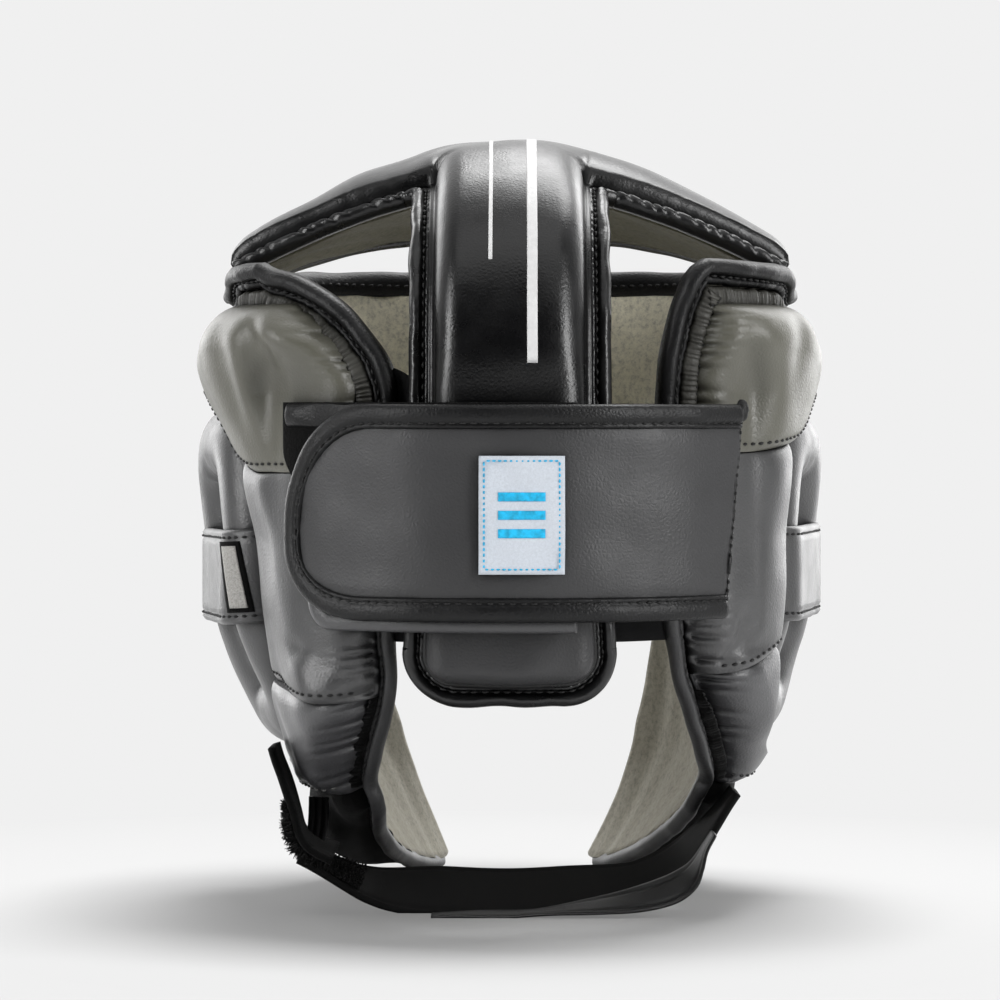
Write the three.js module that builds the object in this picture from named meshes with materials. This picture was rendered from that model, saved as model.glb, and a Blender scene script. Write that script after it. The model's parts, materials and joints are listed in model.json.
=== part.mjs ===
// Padded kickboxing headgear, standing on its chin strap and the tips of its cheeks.
// Millimetres, +X to the wearer's right, +Y to the face, +Z up. The origin is on the floor,
// under the middle of the object.
import * as THREE from "three";

const { lerp, clamp, smoothstep, degToRad } = THREE.MathUtils;

// Driving dimensions
const TOP_EDGE = 235; // height of the top edge of the forehead and side panels
const TOP_DIP = 6.5; // how much lower the top edge is under the crown's arms
const BROW = 190; // height of the lower edge of the forehead
const WALL_MIDDLE_Y = -4; // the wall's own axis, so that the whole object is centred on the origin
const SQUARENESS = 2.3; // exponent of the wall's plan: 2 is an ellipse
const GAP = 0.3; // between pieces that touch
const SEAM_GAP = 1; // between two padded panels, where a seam runs
const LINING = 1.6; // thickness of the suede lining
const PAD_START = 2.5; // where the padding starts above the wall
const EDGE = 5; // thickness of a panel where it goes into its binding

const FOREHEAD_PAD = 32;
const UPPER_PAD = 28; // the upper panels, towards their top edge
const SEAM_PAD = { left: 21, right: 26 }; // the upper and middle panels, at the seam between them
const REAR_PAD = 24; // the upper and middle panels, towards their back edge
const MIDDLE_PAD = { left: 17.5, right: 26 };
const LOWER_PAD = { left: 19, right: 24 };
const LOWER_REAR_PAD = 23; // the lower panels, towards their back edge
const LEVEL_FROM = 190; // above these heights the upper padding stands out level from the wall
const LEVEL_TO = 212;
const UPPER_MARGIN = 7.5; // from the top edge down to the upper padding
const CHEEK_PAD = 25;
const JAW_PAD = 11;
const JAW_BULGE = { left: 9, right: 4 }; // how much thicker the jaw is under the ear

const EAR_THETA = 86; // degrees from the face, at the middle of the ear opening
const EAR_MIDDLE = 127; // height of the middle of the ear opening
const EAR_HALF_WIDTH = 24; // to the middle of the ear roll
const EAR_HALF_HEIGHT = 50;
const EAR_ROLL = 15.5; // radius of the ear roll
const EAR_FRONT_LIFT = 8; // how much prouder the front of the ear guard stands
const EAR_STRAP_HEIGHT = 36;
const EAR_STRAP_THICKNESS = 2.5;

const CROWN_HALF = 107; // from the middle to the end of an arm
const CROWN_DROP = 38.3; // how far the crown falls from the middle to the end of an arm
const CROWN_FALL_POWER = 1.6;
const ARM_FRONT_Y = 72; // the front and rear edge of the crown's arms, at the middle
const ARM_REAR_Y = -48;
const ARM_PIVOT_Y = -4; // the arms narrow towards this line, from the front more than from the rear
const ARM_FRONT_TAPER = 0.46;
const ARM_TAPER = 0.82; // an arm's reach from that line at its end, as a share of its reach at the middle
const STRAP_HALF = 28; // half the width of the back strap, binding left out
const STRAP_FLARE = 2; // how much wider the lower end of the back strap is, on each side
const STRAP_VALLEY = 1.5; // flat stretch between the binding and the raised pad
const STRAP_CORNER = 12; // radius of the lower corners of the back strap
const STRAP_BINDING_HALF = 4.6; // half the width of the flat binding along the crown
const CROWN_EDGE = 5;
const CROWN_RAISE = 10;
const OCCIPITAL_TOP = 148; // the raised pad turns from black to grey at this height

const CLOSURE_TOP = 190;
const CLOSURE_BOTTOM = 113;
const CLOSURE_TIP_Z = 143; // height of the left-most point of the rounded free end
const CLOSURE_UPPER_CORNER = 27; // how far the rounding reaches along the strap, above and below the tip
const CLOSURE_LOWER_CORNER = 35;
const CLOSURE_THICKNESS = 4;
const CLOSURE_LEFT = -82;
const CLOSURE_RIGHT = 81; // where the sewn end is, at the top edge
const CLOSURE_SLANT = 9; // how much shorter the strap is at its lower edge
const CLOSURE_BASE_BOTTOM = 109;
const CLOSURE_BASE_RIGHT = 24;
const CLOSURE_BASE_THICKNESS = 3.2;
const CLOSURE_BINDING = 7;
const LABEL_WIDTH = 29;
const LABEL_HEIGHT = 42;
const LABEL_MIDDLE_X = 4;
const LABEL_MIDDLE_Z = 151;

const BINDING_HALF = 3.6; // half the thickness of the leather binding
const CHIN_STRAP_WIDTH = 26;
const CHIN_STRAP_THICKNESS = 3;
const CHIN_STRAP_Y = -42;
const CHIN_TAB_Y = -51;

// The wall's inner face, from the chin to the top edge: reach to each side, the face and the back.
const WALL_ROWS = [
  { z: 0, left: 30, right: 38, front: 128, back: 60 },
  { z: 25, left: 45, right: 57, front: 119, back: 76 },
  { z: 50, left: 62, right: 74, front: 112, back: 88 },
  { z: 75, left: 71, right: 79, front: 107, back: 95 },
  { z: 100, left: 77, right: 80, front: 104, back: 99 },
  { z: 150, left: 82, right: 82, front: 103, back: 102 },
  { z: 200, left: 88, right: 88, front: 103, back: 103 },
  { z: 222, left: 95.5, right: 95.5, front: 104.5, back: 101.5 },
  { z: 245, left: 111, right: 111, front: 106, back: 100 },
];

// Where the panels stop, in degrees from the face: at the face opening and at the back.
const EDGE_ROWS = [
  { z: 0, face: 44, left: 128, right: 106 },
  { z: 50, face: 38, left: 128, right: 106 },
  { z: 64, face: 39.5, left: 136, right: 118 },
  { z: 86, face: 42, left: 146, right: 130 },
  { z: 108, face: 45, left: 147.5, right: 135 },
  { z: 150, face: 51, left: 149, right: 138 },
  { z: 192, face: 57.5, left: 151, right: 141 },
  { z: 205, face: 57.5, left: 149, right: 141.5 },
  { z: 219, face: 57.5, left: 143, right: 141.5 },
  { z: 229, face: 57.5, left: 136, right: 142 },
  { z: 235, face: 57.5, left: 126, right: 142 },
  { z: 241, face: 57.5, left: 122, right: 139.5 },
  { z: 245, face: 57.5, left: 119, right: 134 },
];

// Heights round the wall: the lower edge, and the seams between the jaw, lower, middle and upper panels.
const SEAM_ROWS = {
  left: [
    { theta: 38, bottom: 16, jaw: 62, lower: 92, upper: 196 },
    { theta: 46, bottom: 9.2, jaw: 62, lower: 92, upper: 196 },
    { theta: 60, bottom: 10.3, jaw: 61, lower: 92, upper: 196 },
    { theta: 80, bottom: 17, jaw: 58, lower: 92, upper: 196 },
    { theta: 95, bottom: 25, jaw: 55, lower: 92, upper: 194 },
    { theta: 103, bottom: 30, jaw: 53.5, lower: 92, upper: 186 },
    { theta: 110, bottom: 34, jaw: 52.5, lower: 91, upper: 172 },
    { theta: 118, bottom: 38, jaw: 51.5, lower: 90, upper: 167.5 },
    { theta: 128, bottom: 44, jaw: 50, lower: 88, upper: 167 },
    { theta: 152, bottom: 44, jaw: 50, lower: 84, upper: 167 },
  ],
  right: [
    { theta: 38, bottom: 16, jaw: 62, lower: 104, upper: 196 },
    { theta: 46, bottom: 8.7, jaw: 62, lower: 104, upper: 196 },
    { theta: 60, bottom: 11.8, jaw: 61, lower: 104, upper: 196 },
    { theta: 80, bottom: 23, jaw: 57, lower: 104, upper: 196 },
    { theta: 95, bottom: 36, jaw: 53, lower: 104, upper: 194 },
    { theta: 106, bottom: 44, jaw: 50, lower: 103, upper: 184 },
    { theta: 112, bottom: 44, jaw: 50, lower: 101, upper: 179 },
    { theta: 128, bottom: 44, jaw: 50, lower: 92, upper: 175 },
    { theta: 152, bottom: 44, jaw: 50, lower: 86, upper: 172 },
  ],
};

// The edge of the panels behind and in front of the ear guard, which goes under it at the jaw.
const EAR_SIDE_ROWS = [
  { z: 50, before: 79, behind: 80 },
  { z: 58, before: 77, behind: 82 },
  { z: 63, before: 72, behind: 97 },
  { z: 70, before: 68, behind: 104 },
  { z: 80, before: 66, behind: 106 },
  { z: 175, before: 66, behind: 106 },
  { z: 200, before: 66, behind: 106 },
];

// The inner face of the crown and back strap, along the middle, from the forehead to the nape.
const CROWN_ROWS = [
  { y: 97, z: 245 },
  { y: 82, z: 256 },
  { y: 50, z: 267 },
  { y: 12, z: 273.5 },
  { y: -22, z: 274 },
  { y: -55, z: 268 },
  { y: -83, z: 252 },
  { y: -102, z: 226 },
  { y: -110.5, z: 192 },
  { y: -112, z: 150 },
  { y: -111, z: 112 },
  { y: -107.5, z: 89 },
];

// The inner face of the closure strap, seen from above.
const CLOSURE_ROWS = [
  { x: -92, y: -82 },
  { x: -80, y: -96 },
  { x: -60, y: -113 },
  { x: -30, y: -128.5 },
  { x: 0, y: -133 },
  { x: 30, y: -129.5 },
  { x: 60, y: -115 },
  { x: 80, y: -98 },
  { x: 92, y: -84 },
];

// The chin strap's middle line, seen from behind, and how far it leans forward from upright.
const CHIN_ROWS = [
  { x: 86, z: 44, lean: 88 },
  { x: 82.2, z: 38.6, lean: 87 },
  { x: 76, z: 30.2, lean: 85 },
  { x: 71, z: 24.4, lean: 80 },
  { x: 67, z: 17, lean: 72 },
  { x: 63, z: 12, lean: 63 },
  { x: 57, z: 8.6, lean: 56 },
  { x: 46.5, z: 6.2, lean: 52 },
  { x: 18.6, z: 5.5, lean: 51 },
  { x: -10, z: 5.4, lean: 51 },
  { x: -40, z: 5.9, lean: 53 },
  { x: -60, z: 11.8, lean: 66 },
  { x: -80, z: 20.6, lean: 78 },
];

// The short strip that hangs beside the left cheek and grips the chin strap.
const CHIN_TAB_ROWS = [
  { x: -92.5, z: 62, lean: 88 },
  { x: -88.5, z: 50, lean: 84 },
  { x: -82, z: 39, lean: 74 },
  { x: -77.4, z: 29.6, lean: 65 },
  { x: -70.6, z: 23.2, lean: 60 },
  { x: -60.4, z: 19.6, lean: 60 },
  { x: -51.4, z: 17.8, lean: 62 },
];

const leather = (color, roughness) => new THREE.MeshStandardMaterial({ color, roughness, metalness: 0 });
const MATERIALS = {
  khaki: leather(0x6f6e66, 0.45),
  grey: leather(0x58585a, 0.45),
  black: leather(0x141415, 0.4),
  binding: leather(0x242425, 0.42),
  suede: leather(0x77735f, 0.95),
  webbing: leather(0x0a0a0b, 0.85),
  label: leather(0xd5dbe2, 0.7),
};

// A smooth function through one column of a table, straight beyond its ends.
function column(rows, key, name) {
  const slope = rows.map((row, i) => {
    const before = rows[Math.max(i - 1, 0)];
    const after = rows[Math.min(i + 1, rows.length - 1)];
    return (after[name] - before[name]) / (after[key] - before[key]);
  });
  const last = rows.length - 1;
  return (at) => {
    const x = clamp(at, rows[0][key], rows[last][key]);
    if (at < x) return rows[0][name] + slope[0] * (at - x);
    if (at > x) return rows[last][name] + slope[last] * (at - x);
    let i = 0;
    while (i < rows.length - 2 && x > rows[i + 1][key]) i++;
    const span = rows[i + 1][key] - rows[i][key];
    const t = (x - rows[i][key]) / span;
    const ease = t * t * (3 - 2 * t);
    const lift = t * (1 - t) * span;
    const level = lerp(rows[i][name], rows[i + 1][name], ease);
    return level + lift * (slope[i] * (1 - t) - slope[i + 1] * t);
  };
}

const withDistance = (rows, across, up) => {
  let along = 0;
  return rows.map((row, i) => {
    if (i) along += Math.hypot(row[across] - rows[i - 1][across], row[up] - rows[i - 1][up]);
    return { ...row, along };
  });
};

const wall = {
  left: column(WALL_ROWS, "z", "left"),
  right: column(WALL_ROWS, "z", "right"),
  front: column(WALL_ROWS, "z", "front"),
  back: column(WALL_ROWS, "z", "back"),
};
const edges = {
  face: column(EDGE_ROWS, "z", "face"),
  left: column(EDGE_ROWS, "z", "left"),
  right: column(EDGE_ROWS, "z", "right"),
  before: column(EAR_SIDE_ROWS, "z", "before"),
  behind: column(EAR_SIDE_ROWS, "z", "behind"),
};
const seam = (side, name) => column(SEAM_ROWS[side], "theta", name);
const topEdge = (theta) =>
  TOP_EDGE - TOP_DIP * smoothstep(theta, 58, 70) * (1 - smoothstep(theta, 101, 116));

// The point and outward normal of a surface, from a function of two parameters.
function withNormal(place, u, v, step, outward) {
  const point = place(u, v);
  const alongU = place(u + step[0], v).sub(place(u - step[0], v));
  const alongV = place(u, v + step[1]).sub(place(u, v - step[1]));
  const normal = alongU.cross(alongV).normalize();
  if (normal.dot(outward(point)) < 0) normal.negate();
  return { point, normal };
}

// The wall at an angle from the face, in degrees to the wearer's right, and a height.
function wallPoint(theta, z) {
  const sin = Math.sin(degToRad(theta));
  const cos = Math.cos(degToRad(theta));
  const round = (value) => Math.sign(value) * Math.abs(value) ** (2 / SQUARENESS);
  const half = sin < 0 ? wall.left(z) : wall.right(z);
  const reach = cos < 0 ? wall.back(z) : wall.front(z);
  return new THREE.Vector3(half * round(sin), WALL_MIDDLE_Y + reach * round(cos), z);
}
const fromAxis = (point) => new THREE.Vector3(point.x, point.y - WALL_MIDDLE_Y, 0);
const wallSurface = (theta, z) => withNormal(wallPoint, theta, z, [0.5, 0.5], fromAxis);

// The crown at a distance to the right of the middle line and a distance along that line.
const crownRows = withDistance(CROWN_ROWS, "y", "z");
const crownY = column(crownRows, "along", "y");
const crownZ = column(crownRows, "along", "z");
const crownLength = crownRows[crownRows.length - 1].along;
function crownPoint(x, along) {
  const step = 0.5;
  const dy = crownY(along + step) - crownY(along - step);
  const dz = crownZ(along + step) - crownZ(along - step);
  const fall = (CROWN_DROP * (Math.abs(x) / CROWN_HALF) ** CROWN_FALL_POWER) / Math.hypot(dy, dz);
  return new THREE.Vector3(x, crownY(along) - dz * fall, crownZ(along) + dy * fall);
}
const crownMiddle = new THREE.Vector3(0, -10, 150);
const fromCrownMiddle = (point) => point.clone().sub(crownMiddle);
const crownSurface = (x, along) => withNormal(crownPoint, x, along, [0.5, 0.5], fromCrownMiddle);

// The distance along the crown's middle line at which a column of its table reaches a value.
function crownAt(reached) {
  let along = 0;
  while (along < crownLength && !reached(crownY(along), crownZ(along))) along += 0.5;
  return along;
}
const armFront = crownAt((y) => y < ARM_FRONT_Y);
const armRear = crownAt((y) => y < ARM_REAR_Y);
const armPivot = crownAt((y) => y < ARM_PIVOT_Y);
const occipitalStart = crownAt((y, z) => y < 0 && z < OCCIPITAL_TOP);

// The closure strap's surface, at a distance along it from its free end and a height.
const closureRows = withDistance(CLOSURE_ROWS, "x", "y");
const closureAlong = column(closureRows, "x", "along");
const closureX = column(closureRows, "along", "x");
const closureY = column(closureRows, "along", "y");
const closureYAtX = column(closureRows, "x", "y");
const closurePoint = (along, z) => new THREE.Vector3(closureX(along), closureY(along), z);
const backwards = (point) => new THREE.Vector3(point.x, point.y, 0);
const closureSurface = (along, z) => withNormal(closurePoint, along, z, [0.5, 0.5], backwards);
const closureStart = closureAlong(CLOSURE_LEFT);
const closureEnd = closureAlong(CLOSURE_RIGHT);

// Evenly spaced values between breaks, with a count for each stretch.
function spaced(breaks, counts) {
  const values = [breaks[0]];
  counts.forEach((count, k) => {
    for (let i = 1; i <= count; i++) values.push(lerp(breaks[k], breaks[k + 1], i / count));
  });
  return values;
}

// Values from 0 to 1 that crowd towards both ends.
const crowded = (count) => spaced([0, 1], [count]).map((t) => lerp(t, smoothstep(t, 0, 1), 0.8));

// A quarter-round rise from 0 at an edge to 1 at a distance of one.
const rise = (share) => Math.sqrt(Math.max(0, 1 - (1 - clamp(share, 0, 1)) ** 2));

// A closed mesh with its faces outwards.
function closedGeometry(points, triangles) {
  const positions = points.flatMap((p) => [p.x, p.y, p.z]);
  const volume = triangles.reduce(
    (sum, [a, b, c]) => sum + points[a].dot(points[b].clone().cross(points[c])),
    0,
  );
  const faces = volume < 0 ? triangles.map(([a, b, c]) => [a, c, b]) : triangles;
  const geometry = new THREE.BufferGeometry();
  geometry.setAttribute("position", new THREE.Float32BufferAttribute(positions, 3));
  geometry.setIndex(faces.flat());
  geometry.computeVertexNormals();
  return geometry;
}

// A closed solid between two heights above a surface, over the cells of a grid that keep says are material.
function patchSolid({ us, vs, surface, inner, outer, keep = () => true, press = (p) => p }) {
  const points = [];
  const triangles = [];
  for (const v of vs) {
    for (const u of us) {
      const { point, normal } = surface(u, v);
      for (const height of [inner(u, v), outer(u, v)]) {
        points.push(press(point.clone().addScaledVector(normal, height)));
      }
    }
  }
  const middle = (list, i) => (list[i] + list[i + 1]) / 2;
  const inside = (i, j) =>
    i >= 0 && j >= 0 && i < us.length - 1 && j < vs.length - 1 && keep(middle(us, i), middle(vs, j));
  const corner = (i, j, face) => 2 * (j * us.length + i) + face;
  const quad = (a, b, c, d) => triangles.push([a, b, c], [a, c, d]);
  const side = (i, j, k, l) => quad(corner(i, j, 0), corner(k, l, 0), corner(k, l, 1), corner(i, j, 1));
  for (let j = 0; j < vs.length - 1; j++) {
    for (let i = 0; i < us.length - 1; i++) {
      if (!inside(i, j)) continue;
      quad(corner(i, j, 1), corner(i + 1, j, 1), corner(i + 1, j + 1, 1), corner(i, j + 1, 1));
      quad(corner(i, j, 0), corner(i, j + 1, 0), corner(i + 1, j + 1, 0), corner(i + 1, j, 0));
      if (!inside(i, j - 1)) side(i, j, i + 1, j);
      if (!inside(i + 1, j)) side(i + 1, j, i + 1, j + 1);
      if (!inside(i, j + 1)) side(i + 1, j + 1, i, j + 1);
      if (!inside(i - 1, j)) side(i, j + 1, i, j);
    }
  }
  return closedGeometry(points, triangles);
}

// A bar with a convex section of [across, outward] pairs, through a row of stations.
function sweepSolid(stations, section, { loop = false, press = (p) => p } = {}) {
  const points = stations.flatMap(({ point, normal, across, lift = 0 }) =>
    section.map(([a, b, share = 0]) => {
      const corner = point.clone().addScaledVector(across, a);
      return press(corner.addScaledVector(normal, b + lift * share));
    }),
  );
  const sides = section.length;
  const triangles = [];
  const rings = loop ? stations.length : stations.length - 1;
  for (let i = 0; i < rings; i++) {
    const next = (i + 1) % stations.length;
    for (let k = 0; k < sides; k++) {
      const [a, b] = [i * sides + k, i * sides + ((k + 1) % sides)];
      const [c, d] = [next * sides + ((k + 1) % sides), next * sides + k];
      triangles.push([a, c, b], [a, d, c]);
    }
  }
  if (!loop) {
    const last = (stations.length - 1) * sides;
    for (let k = 1; k < sides - 1; k++) {
      triangles.push([0, k, k + 1], [last, last + k + 1, last + k]);
    }
  }
  return closedGeometry(points, triangles);
}

const rectangle = (left, right, low, high) => [
  [left, low],
  [right, low],
  [right, high],
  [left, high],
];
const ellipse = (sides, half, low, high) =>
  spaced([0, 2 * Math.PI], [sides])
    .slice(0, -1)
    .map((a) => [half * Math.cos(a), lerp(low, high, 0.5 + 0.5 * Math.sin(a))]);

// Stations along a line of surface points: across lies in the surface, square to the line.
function stationsOn(frames, loop = false) {
  return frames.map(({ point, normal }, i) => {
    const count = frames.length;
    const before = frames[loop ? (i + count - 1) % count : Math.max(i - 1, 0)].point;
    const after = frames[loop ? (i + 1) % count : Math.min(i + 1, count - 1)].point;
    const across = after.clone().sub(before).cross(normal).normalize();
    return { point, normal, across };
  });
}

const headgear = new THREE.Group();
function add(name, material, geometry) {
  const mesh = new THREE.Mesh(geometry, MATERIALS[material]);
  mesh.name = name;
  headgear.add(mesh);
}

const SIDES = [
  { name: "left", sign: -1 },
  { name: "right", sign: 1 },
];

// A panel on the wall: from one angle to another, and from one height to another, which follow each other.
function panelPlace({ sign, from, to, low, high }) {
  return (u, v) => {
    const theta = lerp(from(v), to(v), u);
    return { theta: sign * theta, z: lerp(low(theta), high(theta), v) };
  };
}

// The height of a pad over the wall: full inside, and rounded down to the edge on the sides with a radius.
function pillow({ place, full, edge = EDGE, round }) {
  const at = (u, v) => {
    const { theta, z } = place(u, v);
    return wallPoint(theta, z);
  };
  const width = at(0, 0.5).distanceTo(at(0.5, 0.5)) + at(0.5, 0.5).distanceTo(at(1, 0.5));
  const height = at(0.5, 0).distanceTo(at(0.5, 1));
  const { front = 0, rear = 0, low = 0, high = 0 } = round;
  const part = (distance, radius) => (radius ? rise(distance / radius) : 1);
  return (u, v) => {
    const share =
      part(u * width, front) *
      part((1 - u) * width, rear) *
      part(v * height, low) *
      part((1 - v) * height, high);
    return PAD_START + edge + (full(u, v) - edge) * share;
  };
}

// The closure strap presses flat whatever lies under it.
function pressByClosure(point) {
  const reach = 28;
  const under =
    smoothstep(point.z, CLOSURE_BASE_BOTTOM - reach, CLOSURE_BASE_BOTTOM - 3) *
    (1 - smoothstep(point.z, CLOSURE_TOP + 3, CLOSURE_TOP + reach));
  const beside = 1 - smoothstep(Math.abs(point.x), 85, 106);
  if (point.y > 0 || under * beside === 0) return point;
  const slope = closureYAtX(point.x + 0.5) - closureYAtX(point.x - 0.5);
  const limit = closureYAtX(point.x) + (CLOSURE_BASE_THICKNESS + 2.2) * Math.hypot(1, slope);
  if (point.y < limit) point.y = lerp(point.y, limit, under * beside);
  return point;
}

function addPad(name, material, place, { us, vs, full, edge, round, level }) {
  const wall = (u, v) => {
    const { theta, z } = place(u, v);
    return wallSurface(theta, z);
  };
  const surface = (u, v) => {
    const on = wall(u, v);
    if (!level) return on;
    const { x, y } = on.normal;
    const flat = new THREE.Vector3(x, y, 0).normalize();
    const share = smoothstep(place(u, v).z, LEVEL_FROM, LEVEL_TO) * smoothstep(u, 0, 0.2);
    return { ...on, normal: on.normal.clone().lerp(flat, share).normalize() };
  };
  const outer = pillow({ place, full, edge, round });
  const inner = (u, v) => PAD_START / surface(u, v).normal.dot(wall(u, v).normal);
  add(name, material, patchSolid({ us, vs, surface, inner, outer, press: pressByClosure }));
}

function addSidePanels({ name, sign }) {
  const rear = edges[name];
  const line = (which) => seam(name, which);
  const angleGap = 0.25;

  const jawEnd = name === "left" ? 126 : 104;
  const jaw = panelPlace({
    sign,
    from: (v) => edges.face(lerp(4, 62, v)),
    to: () => jawEnd,
    low: line("bottom"),
    high: (theta) => line("jaw")(theta) - SEAM_GAP,
  });
  const jawShape = (u, v) =>
    smoothstep(u, 0.1, 0.45) * (1 - smoothstep(u, 0.66, 0.88)) * (1 - 0.9 * smoothstep(v, 0.55, 1));
  addPad(`jaw_panel_${name}`, "webbing", jaw, {
    us: crowded(9),
    vs: crowded(4),
    full: (u, v) => JAW_PAD + JAW_BULGE[name] * jawShape(u, v),
    edge: 4,
    round: { front: 8, rear: 6, low: 8 },
  });

  const lowEnd = (v) => rear(lerp(51, 86, v)) - angleGap;
  const lower = panelPlace({
    sign,
    from: (v) => edges.behind(lerp(54, 96, v)),
    to: lowEnd,
    low: line("jaw"),
    high: (theta) => line("lower")(theta) - SEAM_GAP,
  });
  addPad(`side_lower_${name}`, "grey", lower, {
    us: crowded(7),
    vs: crowded(7),
    full: (u, v) => lerp(13, lerp(LOWER_PAD[name], LOWER_REAR_PAD, smoothstep(u, 0.2, 0.7)), rise(v)),
    round: { front: 8, rear: 16 },
  });

  const middle = panelPlace({
    sign,
    from: () => edges.behind(150),
    to: (v) => rear(lerp(86, 168, v)) - angleGap,
    low: line("lower"),
    high: (theta) => line("upper")(theta) - SEAM_GAP,
  });
  addPad(`side_middle_${name}`, "grey", middle, {
    us: crowded(8),
    vs: crowded(7),
    full: (u, v) =>
      lerp(lerp(MIDDLE_PAD[name], SEAM_PAD[name], smoothstep(v, 0.6, 1)), REAR_PAD, smoothstep(u, 0.25, 0.8)),
    round: { front: 12, rear: 22 },
  });

  const upper = panelPlace({
    sign,
    from: () => 58.2,
    to: (v) => rear(lerp(168, TOP_EDGE, v)) - 1.3 * angleGap,
    low: line("upper"),
    high: (theta) => topEdge(theta) - UPPER_MARGIN,
  });
  addPad(`side_upper_${name}`, "khaki", upper, {
    us: crowded(12),
    vs: crowded(7),
    full: (u, v) =>
      lerp(lerp(SEAM_PAD[name], UPPER_PAD, smoothstep(v, 0, 0.55)), REAR_PAD, smoothstep(u, 0.6, 0.97)),
    round: { rear: 20, high: 20 },
    level: true,
  });

  const cheek = panelPlace({
    sign,
    from: (v) => edges.face(lerp(62, 195, v)) + 2 * angleGap,
    to: (v) => edges.before(lerp(60, 195, v)),
    low: line("jaw"),
    high: () => 196 - SEAM_GAP,
  });
  addPad(`cheek_pad_${name}`, "grey", cheek, {
    us: crowded(7),
    vs: crowded(8),
    full: (u, v) => lerp(14, CHEEK_PAD, rise(1.6 * v)),
    round: { front: 16, rear: 8 },
  });

  addSideLining(name, sign, rear, line);
  addSideBindings(name, sign, rear, line);
}

// The suede lining of one side, from the cheek to the back edge, open behind the ear guard.
function addSideLining(name, sign, rear, line) {
  const earAt = 0.45;
  const slot = { half: 0.05, low: 0.4, high: 0.66 };
  const surface = (u, v) => {
    const face = edges.face(lerp(4, TOP_EDGE, v)) + 0.6;
    const back = rear(lerp(44, TOP_EDGE, v)) - 0.6;
    const theta = u < earAt ? lerp(face, EAR_THETA, u / earAt) : lerp(EAR_THETA, back, (u - earAt) / (1 - earAt));
    return wallSurface(sign * theta, lerp(line("bottom")(theta) + 1, topEdge(theta) - 1, v));
  };
  const us = spaced([0, earAt - slot.half, earAt + slot.half, 1], [4, 1, 5]);
  const vs = spaced([0, slot.low, slot.high, 1], [4, 3, 4]);
  const keep = (u, v) => !(Math.abs(u - earAt) < slot.half && v > slot.low && v < slot.high);
  const inner = () => 0;
  const outer = () => LINING;
  add(`side_lining_${name}`, "suede", patchSolid({ us, vs, surface, inner, outer, keep }));
}

// Leather binding round the edge of one side: along the top and back, along the jaw, and up the face.
function addSideBindings(name, sign, rear, line) {
  const clear = BINDING_HALF + 0.95;
  const middle = PAD_START + 0.6;
  const section = ellipse(6, BINDING_HALF, middle - BINDING_HALF, middle + BINDING_HALF);
  const inside = wallPoint(sign * 100, 140);
  const outwards = ({ point, normal, across }) => {
    const away = Math.sign(point.clone().sub(inside).dot(across));
    return { point: point.clone().addScaledVector(across, away * clear), normal, across };
  };
  const bind = (part, frames) =>
    add(`${part}_binding_${name}`, "binding", sweepSolid(stationsOn(frames).map(outwards), section));

  const cornerTheta = rear(TOP_EDGE);
  const along = spaced([58.5, cornerTheta - 1], [10]).map((theta) => wallSurface(sign * theta, topEdge(theta)));
  const down = spaced([TOP_EDGE, 192, 47], [7, 8]).map((z) => wallSurface(sign * rear(z), z));
  bind("back", [...along, ...down]);

  const jawEnd = rear(44) - 4;
  const under = spaced([jawEnd, 50], [9]).map((theta) => wallSurface(sign * theta, line("bottom")(theta)));
  bind("jaw", under);

  const up = spaced([10, 186], [10]).map((z) => wallSurface(sign * edges.face(z), z));
  bind("face", up);
}

function addForehead() {
  const end = 57.5;
  const place = (u, v) => ({ theta: lerp(-end, end, u), z: lerp(BROW, TOP_EDGE, v) });
  addPad("forehead_pad", "black", place, {
    us: spaced([0, 1], [12]),
    vs: crowded(7),
    full: () => FOREHEAD_PAD,
    round: { low: 20, high: 20 },
  });
  const surface = (u, v) => wallSurface(lerp(-end, end, u), lerp(BROW + 1, TOP_EDGE - 1, v));
  const grid = { us: spaced([0, 1], [12]), vs: spaced([0, 1], [3]) };
  add("forehead_lining", "suede", patchSolid({ ...grid, surface, inner: () => 0, outer: () => LINING }));

  const middle = PAD_START + 0.6;
  const section = ellipse(6, BINDING_HALF, middle - BINDING_HALF, middle + BINDING_HALF);
  const clear = BINDING_HALF + 0.9;
  const rim = (name, z, reach) => {
    const frames = spaced([-reach, reach], [14]).map((theta) => wallSurface(theta, z));
    add(name, "binding", sweepSolid(stationsOn(frames), section));
  };
  rim("forehead_binding", TOP_EDGE + clear, end - 0.2);
  rim("brow_binding", BROW - clear, 50.5);
}

const strapHalf = (along) => STRAP_HALF + STRAP_FLARE * smoothstep(along, occipitalStart, crownLength);

// The cross-shaped crown and the back strap under it: u runs across the arms, v from the forehead to the nape.
function crownCross(u, v) {
  const rows = [0, armFront, armRear, crownLength];
  const k = Math.min(Math.floor(v), 2);
  const along = lerp(rows[k], rows[k + 1], v - k);
  const left = crownLength - along;
  const corner = clamp(STRAP_CORNER - left, 0, STRAP_CORNER);
  const half = strapHalf(along) - STRAP_CORNER + Math.sqrt(STRAP_CORNER ** 2 - corner ** 2);
  if (Math.abs(u) <= 1) return { x: u * half, along };
  const reach = Math.abs(u) - 1;
  const x = Math.sign(u) * lerp(STRAP_HALF, CROWN_HALF, reach);
  const taper = along < armPivot ? ARM_FRONT_TAPER : ARM_TAPER;
  return { x, along: armPivot + (along - armPivot) * lerp(1, taper, reach) };
}
const isCross = (u, v) => Math.abs(u) < 1 || (v > 1 && v < 2);

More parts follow.
